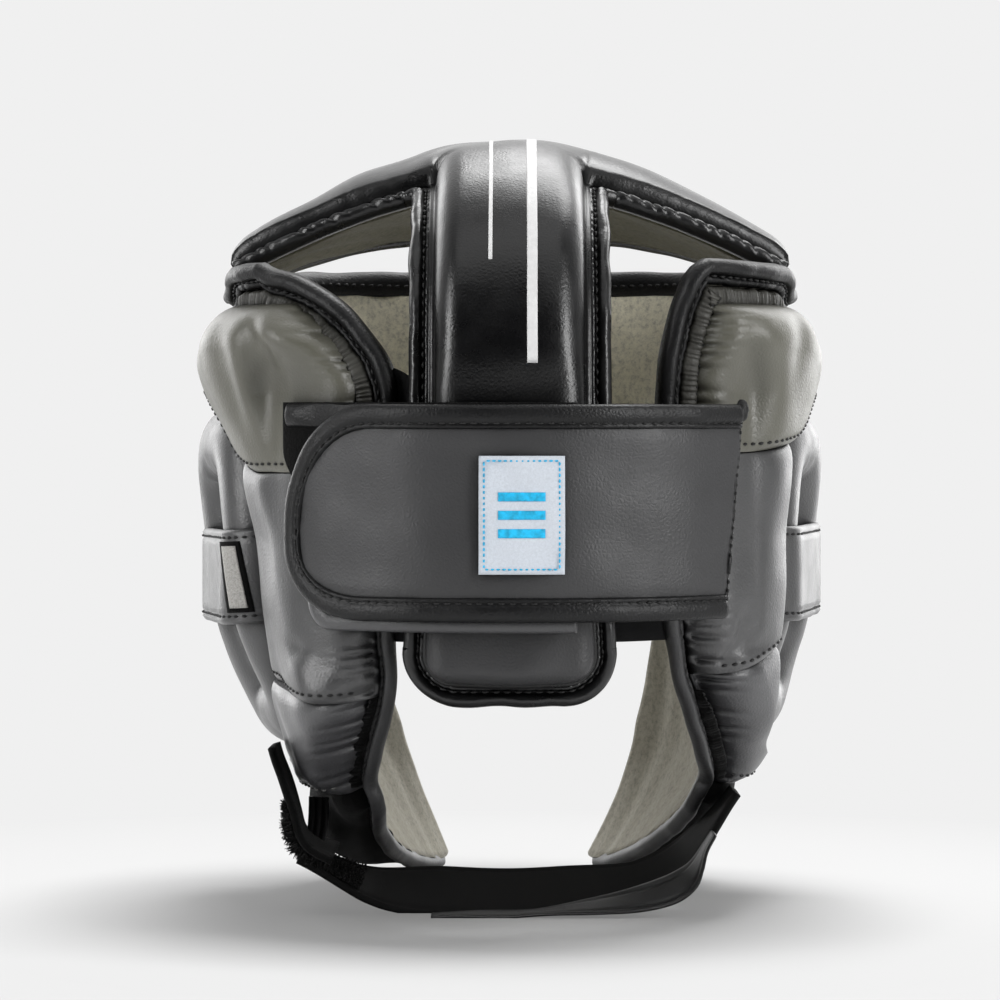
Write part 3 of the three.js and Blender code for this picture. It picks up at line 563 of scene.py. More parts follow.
def closure_surface(along, z):
    def place(a, h):
        return points(closure_x(a), closure_y(a), h)

    return framed(place, along, z, SURFACE_STEP, level_out)


def press_by_closure(p):
    """The closure strap presses flat whatever lies under it."""
    reach, soft, ends = 28, 4.5, (85, 106)
    x, y, z = p[..., 0], p[..., 1], p[..., 2]
    under = smooth(z, CLOSURE_BASE_BOTTOM - reach, CLOSURE_BASE_BOTTOM - 3)
    under = under * (1 - smooth(z, CLOSURE_TOP + 3, CLOSURE_TOP + reach))
    under = under * (1 - smooth(np.abs(x), *ends)) * (y < 0)
    slope = closure_y_at_x(x + 0.5) - closure_y_at_x(x - 0.5)
    limit = closure_y_at_x(x) + (CLOSURE_BASE_THICKNESS + 2) * np.hypot(1, slope)
    sunk = limit + soft * np.logaddexp(0, (y - limit) / soft)
    return points(x, mix(y, sunk, under), z)


# Making pieces


def make_piece(name, verts, faces, material, nodes=(), slot=None, fill=None, uv=None):
    """One object that rides on the headgear: its mesh in millimetres, faces outwards, and its materials."""
    verts = np.asarray(verts, float)
    fans = np.array([(f[0], f[k], f[k + 1]) for f in faces for k in range(1, len(f) - 1)])
    a, b, c = (verts[fans[:, k]] for k in range(3))
    if (a * np.cross(b, c)).sum() < 0:
        faces = [tuple(reversed(f)) for f in faces]
    mesh = bpy.data.meshes.new(name)
    mesh.from_pydata((verts * MM).tolist(), [], [tuple(int(i) for i in f) for f in faces])
    if uv is not None:
        layer = mesh.uv_layers.new(name="millimetres")
        order = np.zeros(len(mesh.loops), int)
        mesh.loops.foreach_get("vertex_index", order)
        layer.data.foreach_set("uv", np.asarray(uv, np.float32)[order].ravel())
    for one in material if isinstance(material, list) else [material]:
        mesh.materials.append(one)
    mesh.polygons.foreach_set("use_smooth", [True] * len(mesh.polygons))
    obj = bpy.data.objects.new(name, mesh)
    bpy.context.scene.collection.objects.link(obj)
    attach(obj, "root")
    if nodes:
        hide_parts(*([nodes] if isinstance(nodes, str) else nodes))
    return obj


def shell_mesh(outer, inner, keep=None):
    """Vertices and faces of a closed shell between two grids of points, over the cells that keep holds."""
    rows, cols = outer.shape[:2]
    if keep is None:
        keep = np.ones((rows - 1, cols - 1), bool)
    verts = np.concatenate([outer.reshape(-1, 3), inner.reshape(-1, 3)])
    index = np.arange(rows * cols).reshape(rows, cols)
    below = index + rows * cols
    faces = []
    padded = np.pad(keep, 1)
    for j, i in zip(*np.nonzero(keep)):
        a, b, c, d = index[j, i], index[j, i + 1], index[j + 1, i + 1], index[j + 1, i]
        e, f, g, h = below[j, i], below[j, i + 1], below[j + 1, i + 1], below[j + 1, i]
        faces.append((a, b, c, d))
        faces.append((h, g, f, e))
        if not padded[j, i + 1]:
            faces.append((e, f, b, a))
        if not padded[j + 1, i + 2]:
            faces.append((f, g, c, b))
        if not padded[j + 2, i + 1]:
            faces.append((g, h, d, c))
        if not padded[j + 1, i]:
            faces.append((h, e, a, d))
    used = np.unique(np.concatenate([np.array(f) for f in faces]))
    renumber = np.zeros(len(verts), int)
    renumber[used] = np.arange(len(used))
    return verts[used], [tuple(renumber[list(f)]) for f in faces], used


def make_shell(name, us, vs, surface, inner, outer, material, keep=None, press=None, **facts):
    """A closed shell piece: surface(u, v) gives points and normals, inner and outer are its two heights."""
    u, v = np.meshgrid(us, vs)
    point, normal = surface(u, v)

    def raised(height):
        level = height(u, v) if callable(height) else height
        lifted = point + normal * np.broadcast_to(level, u.shape)[..., None]
        return press(lifted) if press else lifted

    top, low = raised(outer), raised(inner)
    cells = None
    if keep:
        cells = keep((u[1:, 1:] + u[:-1, :-1]) / 2, (v[1:, 1:] + v[:-1, :-1]) / 2)
    verts, faces, used = shell_mesh(top, low, cells)
    wide = np.linalg.norm(np.diff(point, axis=1), axis=-1)
    high = np.linalg.norm(np.diff(point, axis=0), axis=-1)
    across = np.pad(np.cumsum(wide, axis=1), ((0, 0), (1, 0)))
    upward = np.pad(np.cumsum(high, axis=0), ((1, 0), (0, 0)))
    flat = np.stack([across, upward], -1).reshape(-1, 2)
    uv = np.concatenate([flat, flat])[used]
    return make_piece(name, verts, faces, material, uv=uv, **facts)


def line_frames(point, normal, loop=False):
    """For a line of points on a surface: the tangent and the direction across it, in the surface."""
    if loop:
        tangent = np.roll(point, -1, 0) - np.roll(point, 1, 0)
    else:
        tangent = np.gradient(point, axis=0)
    tangent = unit(tangent)
    return tangent, unit(np.cross(tangent, normal))


def away_from(inside, point, normal):
    """The direction across a line on a surface, away from a place inside it."""
    return facing(line_frames(point, normal)[1], point - inside)


def distance_along(point):
    return np.concatenate([[0], np.cumsum(np.linalg.norm(np.diff(point, axis=0), axis=1))])


def resample(spacing, point, *others):
    """The same line with evenly spaced points, and other columns of values taken along with it."""
    s = distance_along(point)
    even = np.linspace(0, s[-1], max(3, int(s[-1] / spacing) + 1))

    def take(values):
        return np.stack([np.interp(even, s, values[:, k]) for k in range(values.shape[1])], -1)

    return [take(point), *[take(values) for values in others]]


def tube_faces(rings, sides, loop=False):
    """Faces of a tube whose rings of vertices follow each other, with closed ends or joined to a loop."""
    index = np.arange(rings * sides).reshape(rings, sides)
    faces = []
    for i in range(rings if loop else rings - 1):
        n = (i + 1) % rings
        for k in range(sides):
            m = (k + 1) % sides
            faces.append((index[i, k], index[i, m], index[n, m], index[n, k]))
    if not loop:
        faces.append(tuple(reversed(index[0])))
        faces.append(tuple(index[-1]))
    return faces


def sweep_mesh(point, normal, across, section, loop=False):
    """Vertices, faces and flat coordinates of a bar with a section of (across, outward) at each station."""
    count, sides = section.shape[:2]
    verts = (
        point[:, None]
        + across[:, None] * section[..., 0, None]
        + normal[:, None] * section[..., 1, None]
    )
    along = np.repeat(distance_along(point)[:, None], sides, 1)
    uv = np.stack([along, section[..., 0]], -1).reshape(-1, 2)
    return verts.reshape(-1, 3), tube_faces(count, sides, loop), uv


def make_bar(name, point, normal, across, section, material, loop=False, **facts):
    verts, faces, uv = sweep_mesh(point, normal, across, section, loop)
    make_piece(name, verts, faces, material, uv=uv, **facts)


def make_sheet(name, top, low, material, **facts):
    verts, faces, _ = shell_mesh(top, low)
    make_piece(name, verts, faces, material, **facts)


def same_section(a, b, count):
    """One section of (across, outward), repeated at every station."""
    return np.repeat(np.stack([a, b], -1)[None], count, 0)


def flat_outline(half, top, low, count):
    """The outline of a flat strip: places across it, and the heights of its upper and lower face."""
    across = np.concatenate([np.linspace(-half, half, count), np.linspace(half, -half, count)])
    return across, np.repeat([top, low], count)


class Bundle:
    """Many small meshes that become one piece."""

    def __init__(self):
        self.verts, self.faces, self.count = [], [], 0

    def add(self, verts, faces):
        self.verts.append(verts)
        self.faces.extend(tuple(i + self.count for i in f) for f in faces)
        self.count += len(verts)

    def make(self, name, material, **facts):
        return make_piece(name, np.concatenate(self.verts), self.faces, material, **facts)


threads = {"black": Bundle(), "grey": Bundle(), "blue": Bundle()}


def sew(colour, point, normal, pitch=STITCH_PITCH, length=STITCH_LENGTH, radius=STITCH_RADIUS):
    """A row of stitches along a line on a surface."""
    point, normal = resample(0.5, point, normal)
    s = distance_along(point)
    tangent, _ = line_frames(point, normal)
    rings = np.linspace(-1, 1, STITCH_RINGS)
    angles = full_turn(STITCH_SIDES)
    faces = tube_faces(STITCH_RINGS, STITCH_SIDES)
    for start in np.arange(pitch / 2, s[-1] - pitch / 2, pitch):
        i = int(np.searchsorted(s, start))
        along, out = tangent[i], unit(normal[i])
        side = np.cross(along, out)
        verts = []
        for r in rings:
            thick = radius * math.sqrt(max(0.12, 1 - r**4))
            middle = point[i] + along * r * length / 2 + out * radius * (0.55 - 1.3 * r * r)
            for a in angles:
                verts.append(middle + thick * (side * math.cos(a) + out * math.sin(a)))
        threads[colour].add(np.array(verts), faces)


# Materials


def feed(node, inputs):
    """Gives each named input of a node a value, or links it to the output of another node."""
    for key, value in inputs.items():
        if isinstance(value, bpy.types.NodeSocket):
            node.id_data.links.new(value, node.inputs[key])
        else:
            node.inputs[key].default_value = value


def add_node(tree, kind, inputs=None, **settings):
    """The outputs of a new node."""
    made = tree.nodes.new(f"ShaderNode{kind}")
    for key, value in settings.items():
        setattr(made, key, value)
    feed(made, inputs or {})
    return made.outputs


def remap(tree, value, low, high, to_low, to_high):
    limits = {"From Min": low, "From Max": high, "To Min": to_low, "To Max": to_high}
    return add_node(tree, "MapRange", {"Value": value, **limits})["Result"]


class Shader:
    """A material with a principled shader, and short ways to add the nodes that feed it."""

    def __init__(self, name, roughness, specular=0.5):
        self.material = bpy.data.materials.new(name)
        self.material.use_nodes = True
        self.tree = self.material.node_tree
        self.base = self.tree.nodes["Principled BSDF"]
        self.set({"Roughness": roughness, "Specular IOR Level": specular})
        self.place = add_node(self.tree, "TexCoord")

    def set(self, inputs):
        feed(self.base, inputs)

    def noise(self, scale, detail=3, rough=0.55):
        inputs = {"Vector": self.place["Object"], "Scale": scale, "Detail": detail, "Roughness": rough}
        return add_node(self.tree, "TexNoise", inputs)["Fac"]

    def cells(self, scale):
        inputs = {"Vector": self.place["Object"], "Scale": scale}
        return add_node(self.tree, "TexVoronoi", inputs, feature="DISTANCE_TO_EDGE")["Distance"]

    def bands(self, scale, direction):
        inputs = {"Vector": self.place["UV"], "Scale": scale, "Distortion": 0.4}
        return add_node(self.tree, "TexWave", inputs, bands_direction=direction)["Fac"]

    def ramp(self, value, *stops):
        made = self.tree.nodes.new("ShaderNodeValToRGB")
        elements = made.color_ramp.elements
        while len(elements) < len(stops):
            elements.new(0.5)
        for element, (at, colour) in zip(elements, stops):
            element.position = at
            element.color = (*colour, 1)
        feed(made, {"Fac": value})
        return made.outputs["Color"]

    def painted_shade(self, colour):
        """The colour with shade painted into creases and gaps, and how open each place is."""
        inputs = {"Color": colour, "Distance": PAINTED_SHADE_REACH * MM}
        made = add_node(self.tree, "AmbientOcclusion", inputs, samples=PAINTED_SHADE_SAMPLES)
        return made["Color"], made["AO"]

    def bump(self, *layers):
        """Layers of (height, strength, distance in millimetres)."""
        below = {}
        for height, strength, distance in layers:
            inputs = {"Height": height, "Strength": strength, "Distance": distance * MM, **below}
            below = {"Normal": add_node(self.tree, "Bump", inputs)["Normal"]}
        self.set(below)


def linear(red, green, blue):
    """A colour given as 0 to 255 in display values."""
    values = [c / 255 for c in (red, green, blue)]
    return tuple(v / 12.92 if v <= 0.04045 else ((v + 0.055) / 1.055) ** 2.4 for v in values)


def shade(colour, amount):
    return tuple(c * amount for c in colour)


def leather(name, rgb, roughness, grain=0.3, specular=0.5):
    made = Shader(name, roughness, specular)
    base = linear(*rgb)
    blotch = made.noise(22, 4)
    tone = made.ramp(blotch, (0.25, shade(base, 0.86)), (0.75, shade(base, 1.12)))
    # Painted shade: the tone is darkened in creases and gaps, and the sheen is turned down there
    colour, openness = made.painted_shade(tone)
    made.set({
        "Base Color": colour,
        "Specular IOR Level": remap(made.tree, openness, 0.2, 0.9, 0.1 * specular, specular),
        "Roughness": remap(made.tree, made.noise(60, 5), 0.3, 0.7, roughness - 0.05, roughness + 0.07),
    })
    made.bump(
        (made.noise(140, 3), 0.22, 0.5),
        (made.cells(640), min(1.0, 2.4 * grain), 0.2),
        (made.noise(1400, 3), min(1.0, 1.5 * grain), 0.1),
    )
    return made.material


def suede(name, rgb):
    made = Shader(name, 0.95, 0.15)
    base = linear(*rgb)
    patches = made.noise(420, 8, 0.78)
    tone = made.ramp(patches, (0.3, shade(base, 0.5)), (0.5, base), (0.72, shade(base, 1.25)))
    made.set({"Sheen Weight": 0.25, "Sheen Roughness": 0.5, "Base Color": tone})
    made.bump((made.noise(300, 5, 0.7), 0.5, 0.5), (made.noise(1700, 4, 0.8), 0.6, 0.25))
    return made.material


def webbing(name, rgb, rib, rough=0.8, specular=0.16):
    made = Shader(name, rough, specular)
    base = linear(*rgb)
    along, across = made.bands(rib, "X"), made.bands(rib * 0.7, "Y")
    made.set({"Base Color": made.ramp(along, (0.1, shade(base, 0.6)), (0.9, shade(base, 1.35)))})
    made.bump((along, 0.5, 0.22), (across, 0.35, 0.15), (made.noise(1800, 3), 0.3, 0.1))
    return made.material


def pile(name, rgb):
    made = Shader(name, 1.0, 0.1)
    base = linear(*rgb)
    tufts = made.noise(900, 5, 0.75)
    tone = made.ramp(tufts, (0.3, shade(base, 0.4)), (0.75, shade(base, 2.2)))
    made.set({"Sheen Weight": 0.05, "Base Color": tone})
    made.bump((tufts, 0.9, 0.5), (made.noise(3200, 3), 0.5, 0.15))
    return made.material


def thread(name, rgb, roughness=0.6, dark=0.75):
    made = Shader(name, roughness, 0.4)
    base = linear(*rgb)
    tone = made.ramp(made.noise(500, 2), (0.3, shade(base, dark)), (0.7, shade(base, 2 - dark)))
    made.set({"Base Color": tone})
    made.bump((made.noise(2500, 2), 0.4, 0.1))
    return made.material


def woven(name, rgb, dark=0.88):
    """A fine flat weave of pale thread."""
    made = Shader(name, 0.75, 0.3)
    base = linear(*rgb)
    fine = made.noise(1400, 3, 0.7)
    made.set({"Base Color": made.ramp(fine, (0.3, shade(base, dark)), (0.7, shade(base, 1.05)))})
    made.bump((fine, 0.5, 0.15), (made.noise(3500, 2), 0.4, 0.08))
    return made.material


khaki = leather("khaki_leather", (84, 83, 74), 0.42, 0.28, 0.6)
khaki_dark = leather("pleated_leather", (58, 57, 52), 0.5)
grey = leather("grey_leather", (50, 50, 51), 0.41, 0.28, 0.8)
strap_grey = leather("closure_leather", (51, 51, 52), 0.45, 0.32, 0.36)
low_grey = leather("lower_leather", (50, 50, 52), 0.4, 0.28, 0.85)
black = leather("black_leather", (6, 6, 7), 0.3, 0.16)
trim = leather("binding_leather", (14, 14, 15), 0.42, 0.4, 0.28)
# A lighter copy of the binding leather: painted light on the lower binding, which is more lit
trim_painted_lit = leather("binding_leather_painted_lit", (44, 44, 45), 0.5, 0.35)
trim_black = leather("back_strap_trim", (12, 12, 13), 0.3, 0.18)
lining = suede("suede_lining", (142, 138, 124))
# A darker copy of the suede lining: painted shade on the lining under the crown
suede_painted_shade = suede("suede_painted_shade", (120, 117, 102))
# A lighter copy of the suede lining: painted light on the forehead's lining, which is lit more strongly
lining_painted_lit = suede("suede_painted_lit", (232, 227, 206))
back_cloth = pile("lining_back", (22, 22, 22))
loop_cloth = pile("loop_cloth", (5, 5, 5))
strap_cloth = webbing("chin_webbing", (4, 4, 4), 1.6)
elastic_cloth = webbing("elastic", (14, 14, 15), 2.2)
satin = webbing("satin_tape", (11, 11, 12), 0.9, 0.4, 0.3)
label_cloth = woven("label_weave", (192, 198, 206))
patch_cloth = woven("patch_weave", (170, 168, 164), 0.55)
print_white = thread("print_white", (205, 205, 205), 0.5, 0.94)
thread_colours = {
    "black": thread("black_thread", (14, 14, 14)),
    "grey": thread("grey_thread", (70, 70, 68)),
    "blue": thread("blue_thread", (20, 165, 210)),
}


# Padded panels


class Pad:
    """A padded panel on the wall, between two angles and two heights, with rounded and sewn sides."""

    SIDES = ("front", "rear", "low", "high")

    def __init__(
        self, side, start, end, low, high, full, edge=EDGE,
        rounded=None, sewn=(), gathered=(), ledge=None, level=False, seed=1,
    ):
        self.side, self.start, self.end, self.low, self.high = side, start, end, low, high
        self.full, self.edge, self.rounded = full, edge, rounded or {}
        self.sewn, self.gathered, self.ledge, self.level = sewn, gathered, ledge or {}, level
        self.gather = {name: Gather(seed * 7 + k, PUCKER_PITCH) for k, name in enumerate(self.SIDES)}
        self.waves = (Wobble(seed * 11, 34), Wobble(seed * 13, 46))

    def place(self, u, v):
        theta = mix(self.start(v), self.end(v), u)
        return theta, mix(self.low(theta), self.high(theta), v)

    def sides(self, u, v):
        """Distances from the four sides, and the distance along each of them."""
        theta, z = self.place(u, v)
        width = (self.end(v) - self.start(v)) * MM_PER_DEGREE
        height = self.high(theta) - self.low(theta)
        away = {"front": u * width, "rear": (1 - u) * width, "low": v * height, "high": (1 - v) * height}
        along = {"front": z, "rear": z, "low": theta * MM_PER_DEGREE, "high": theta * MM_PER_DEGREE}
        return away, along, theta, z

    def height(self, u, v):
        away, along, theta, z = self.sides(u, v)
        away = {name: away[name] - self.ledge.get(name, 0) for name in away}
        for name in self.gathered:
            crease = 1 - self.gather[name](along[name])
            away[name] = away[name] - PUCKER * crease * np.exp(-np.maximum(away[name], 0) / PUCKER_LENGTH)
        share = 1.0
        for name, radius in self.rounded.items():
            share = share * rise(away[name] / radius)
        height = self.edge + (self.full(u, v, z) - self.edge) * share
        for name in self.ledge:
            height = height - (self.edge - LEDGE_HEIGHT) * (1 - smooth(away[name], -1.5, 1))
        for name in self.sewn:
            height = height - SEWN_DIP * np.exp(-np.maximum(away[name], 0) / SEWN_REACH) * share
        for at, level, wide, tall, depth in zip(*DENTS.get(self.side, {}).values()):
            height = height - depth * share * hump(theta - at, wide) * hump(z - level, tall)
        height = height + 0.5 * share * self.waves[0](theta * MM_PER_DEGREE + 0.4 * z)
        height = height + 0.4 * share * self.waves[1](z - 0.3 * theta)
        return PAD_START + np.maximum(height, 2)

    def wall(self, u, v):
        """The wall under the pad, and the way its padding stands out, which is level near the top edge."""
        theta, z = self.place(u, v)
        point, normal = wall_surface(SIGNS.get(self.side, 1) * theta, z)
        if self.level:
            share = (smooth(z, LEVEL_FROM, LEVEL_TO) * smooth(u, 0, 0.2))[..., None]
            normal = unit(mix(normal, unit(level_out(normal)), share))
        return point, normal

    def outside(self, u, v):
        """Points and normals on the pad's outer face."""

        def place(a, b):
            point, normal = self.wall(a, b)
            return press_by_closure(point + normal * self.height(a, b)[..., None])

        return framed(place, u, v, PAD_STEP, level_out)

    def make(self, name, material, slot, cells=(90, 60), fill=0.75):
        make_shell(
            name, *map(eased, cells), self.wall, PAD_START, self.height, material,
            press=press_by_closure, nodes=name, slot=slot, fill=fill,
        )

    def stitch(self, side, away, colour="black", start=0.02, end=0.98):
        """A row of stitches on the outer face, at a distance from one side."""
        t = np.linspace(start, end, 160)
        half = np.full_like(t, 0.5)
        upright = side in ("front", "rear")
        middle = (half, t) if upright else (t, half)
        share = away / (2 * self.sides(*middle)[0][side])
        at = share if side in ("front", "low") else 1 - share
        sew(colour, *(self.outside(at, t) if upright else self.outside(t, at)))


def constant(value):
    return lambda v: np.full_like(np.asarray(v, float), value)


def binding_section(half, thick, s, seed, gather):
    """Rows of (across, outward) of a folded strip: a roll outside, a puckered flap inside its stitches."""
    top = np.linspace(-half, half, 21)
    under = np.linspace(half, -half, 11)[1:-1]

    def arch(middle, reach):
        return np.sqrt(np.maximum(0, 1 - ((top - middle * half) / (reach * half)) ** 2))

    roll, flap = thick * arch(0.36, 0.66), 0.62 * thick * arch(-0.5, 0.52)
    below = -thick * np.sqrt(1 - (under / half) ** 2)
    a = np.concatenate([top, under])
    b = np.concatenate([np.maximum(roll, flap), below])
    is_top = np.concatenate([np.ones_like(top), np.zeros_like(under)])
    section = same_section(a, b, len(s))
    groove = -0.24 * half
    inner = is_top * smooth(groove - a, 0, 1)
    outer = is_top * smooth(a - groove, 0, 1.5)
    section[..., 1] -= 0.7 * hump(a - groove, 0.6) * is_top
    section[..., 1] += (Gather(seed, 3.2)(s)[:, None] - 0.7) * 1.1 * inner * (1 - 0.75 * gather[:, None])
    twist = Gather(seed + 2, 5.2)(s[:, None] + 0.9 * a)
    section[..., 1] += (twist - 0.8) * 1.5 * gather[:, None] * outer
    section[..., 1] += 0.3 * Wobble(seed + 5, 22)(s)[:, None] * is_top
    section[..., 0] += 0.35 * Wobble(seed + 9, 30)(s)[:, None] * (a > 0)
    return section, groove


def binding(name, point, normal, inside, half, reach, material, gather=0.15, level=0.6, seed=1, **facts):
    """A folded leather strip over the edge of a panel: point runs along the edge, inside lies on the panel.

    Half width, reach beyond the edge, gather and level may vary along the edge.
    """
    facts_along = np.stack(np.broadcast_arrays(half, reach, gather, level, point[:, 0]), -1)[:, :4]
    point, normal, along = resample(1.2, point, normal, facts_along)
    half, reach, gather, level = along.T
    normal = unit(normal)
    across = away_from(inside, point, normal)
    middle = point + across * reach[:, None] + normal * (PAD_START + level)[:, None]
    widest = half.max()
    width = (half / widest)[:, None]
    section, groove = binding_section(widest, 0.9 * widest, distance_along(point), seed, gather)
    make_bar(name, middle, normal, across, section * width[..., None], material, **facts)
    lift = (0.52 * half)[:, None]
    sew("black", middle + across * groove * width + normal * lift, normal)
    return middle, normal, across


def jaw_shape(u, v):
    """Where the jaw is thickest: under the ear, away from its seam with the pads above it."""
    return smooth(u, 0.1, 0.45) * (1 - smooth(u, 0.66, 0.88)) * (1 - 0.9 * smooth(v, 0.55, 1))


def side_panels(side):
    rear = edges[side]
    line = {name: seam(side, name) for name in ("bottom", "jaw", "lower", "upper")}
    seed = 3 if side == "left" else 4
    jaw_end = 126 if side == "left" else 104

    jaw = Pad(
        side, lambda v: edges["face"](mix(4, 62, v)), constant(jaw_end), line["bottom"],
        lambda t: line["jaw"](t) - SEAM_GAP, lambda u, v, z: JAW_PAD + JAW_BULGE[side] * jaw_shape(u, v),
        edge=4, rounded={"front": 8, "rear": 6, "low": 8}, sewn=("high",), seed=seed,
    )
    jaw.make(f"jaw_panel_{side}", loop_cloth, "black_webbing", (70, 26), 0.6)

    def lower_full(u, v, z):
        return mix(LOWER_HEM, mix(LOWER_PAD[side], LOWER_REAR_PAD, smooth(u, 0.2, 0.7)), rise(v))

    def middle_full(u, v, z):
        front = mix(MIDDLE_PAD[side], SEAM_PAD[side], smooth(z, 140, 168))
        return mix(front, REAR_PAD, smooth(u, 0.25, 0.8))

    def upper_full(u, v, z):
        return mix(mix(SEAM_PAD[side], UPPER_PAD, smooth(z, 165, 208)), REAR_PAD, smooth(u, 0.6, 0.97))

    lower = Pad(
        side, lambda v: ear_side["behind"](mix(54, 96, v)), lambda v: rear(mix(51, 86, v)), line["jaw"],
        lambda t: line["lower"](t) - SEAM_GAP, lower_full, rounded={"front": 9, "rear": 16},
        sewn=("low", "high"), gathered=("rear", "low"), ledge={"rear": 2.4}, seed=seed + 10,
    )
    lower.make(f"side_lower_{side}", low_grey, "grey_leather", (100, 70))
    lower.stitch("low", 3.4, "grey" if side == "left" else "black", 0.05, 0.95)

    middle = Pad(
        side, constant(BEHIND_EAR), lambda v: rear(mix(86, 168, v)), line["lower"],
        lambda t: line["upper"](t) - SEAM_GAP, middle_full, rounded={"front": 13, "rear": 22},
        sewn=("low", "high"), gathered=("rear",), seed=seed + 20,
    )
    middle.make(f"side_middle_{side}", grey, "grey_leather", (100, 110))
    middle.stitch("low", SEAM_STITCHES, "black", 0.1, 0.97)

    upper = Pad(
        side, constant(FOREHEAD_END + SEAM_GAP), lambda v: rear(mix(168, TOP_EDGE, v)), line["upper"],
        top_edge, upper_full, rounded={"rear": 18, "high": 17}, sewn=("low", "front"), gathered=("rear",),
        ledge={"rear": LEDGE - 1, "high": LEDGE + 2}, level=True, seed=seed + 30,
    )
    upper.make(f"side_upper_{side}", khaki, "khaki_leather", (170, 110))
    upper.stitch("low", SEAM_STITCHES, "black", 0.02, 0.97)

    cheek = Pad(
        side, lambda v: edges["face"](mix(62, 195, v)), lambda v: ear_side["before"](mix(60, 195, v)),
        line["jaw"], constant(195.6), lambda u, v, z: mix(14, CHEEK_PAD, rise(1.6 * v)),
        rounded={"front": 16, "rear": 9}, sewn=("low", "high"), gathered=("front",), seed=seed + 40,
    )
    cheek.make(f"cheek_pad_{side}", grey, "grey_leather", (60, 90))
    cheek.stitch("low", SEAM_STITCHES, "black", 0.08, 0.92)
    cheek.stitch("high", SEAM_STITCHES, "black", 0.12, 0.95)

    side_lining(side, line["bottom"], rear)
    side_bindings(side, line["bottom"], rear)


def side_lining(side, bottom, rear):
    """The suede lining of one side, open behind the ear guard; it laps the binding at the chin end."""
    sign = SIGNS[side]
    ear_at = 0.45

    def low_margin(theta):
        return mix(-2.2, 0.6, smooth(theta, 88, 112))

    def surface(u, v):
        face = edges["face"](mix(4, TOP_EDGE, v)) + 0.2
        back = rear(mix(44, TOP_EDGE, v)) - 0.2
        theta = np.where(
            u < ear_at, mix(face, EAR_THETA, u / ear_at), mix(EAR_THETA, back, (u - ear_at) / (1 - ear_at))
        )
        return wall_surface(sign * theta, mix(bottom(theta) + low_margin(theta), top_edge(theta) - 0.4, v))

    def keep(u, v):
        return (np.abs(u - ear_at) / 0.055) ** 2.6 + (np.abs(v - 0.53) / 0.15) ** 2.6 > 1

    dimple = (Wobble(21, 26), Wobble(22, 31))

    def inner(u, v):
        return 0.35 * dimple[0](u * 190 + 30 * v) + 0.3 * dimple[1](v * 220)

    grid = (np.linspace(0, 1, 84), np.linspace(0, 1, 84))
    cloth = make_shell(
        f"side_lining_{side}", *grid, surface, inner, LINING, [lining, back_cloth],
        keep=keep, nodes=f"side_lining_{side}", slot="suede_lining",
    )
    outer_faces(cloth)


def outer_faces(obj):
    """Gives the second material to the faces that look away from the head."""
    centre, upright_share = (0, 0, 0.15), 0.3
    mesh = obj.data
    middle = np.zeros(3 * len(mesh.polygons), np.float32)
    normal = np.zeros(3 * len(mesh.polygons), np.float32)
    mesh.polygons.foreach_get("center", middle)
    mesh.polygons.foreach_get("normal", normal)
    away = (middle.reshape(-1, 3) - centre) * (1, 1, upright_share)
    mesh.polygons.foreach_set("material_index", ((away * normal.reshape(-1, 3)).sum(1) > 0).astype(int))


def pleats(name, point, normal, inside, material, slot, pitch, width, rises, seed):
    """A pleated strip between a binding and the pad beside it, rising from the one to the other."""
    width = np.broadcast_to(width, len(point))[:, None]
    point, normal, width = resample(0.42, point, normal, width)
    normal, width = unit(normal), width[:, 0]
    across = away_from(inside, point, normal)
    s = distance_along(point)
    t = np.linspace(0, 1, 9)
    a = np.concatenate([-t, [-1, 0]]) * width[:, None] - 0.2
    b = PAD_START + np.concatenate([4.2 + rises * t + 0.9 * np.sin(np.pi * t), [1, 1]])
    section = np.stack(np.broadcast_arrays(a, b), -1).copy()
    lobe = np.abs(np.sin(np.pi * s / pitch + 1.3 * Wobble(seed, 4.3 * pitch)(s))) ** 0.7
    tall = np.clip(0.8 + 0.4 * Wobble(seed + 1, 6.7 * pitch)(s), 0.3, 1.3)
    depth = np.concatenate([0.35 + 0.65 * np.sin(np.pi * np.clip(t + 0.15, 0, 1)), [0, 0]])
    section[..., 1] += 0.7 * pitch * (lobe * tall - 0.6)[:, None] * depth
    section[..., 0] += 0.3 * Wobble(seed + 2, 11)(s)[:, None]
    make_bar(name, point, normal, across, section, material, slot=slot)
    edge = point - across * (width[:, None] - 0.2) + normal * (PAD_START + 4 + rises)
    sew("black", edge, normal, pitch=2.6, length=2.0, radius=0.34)


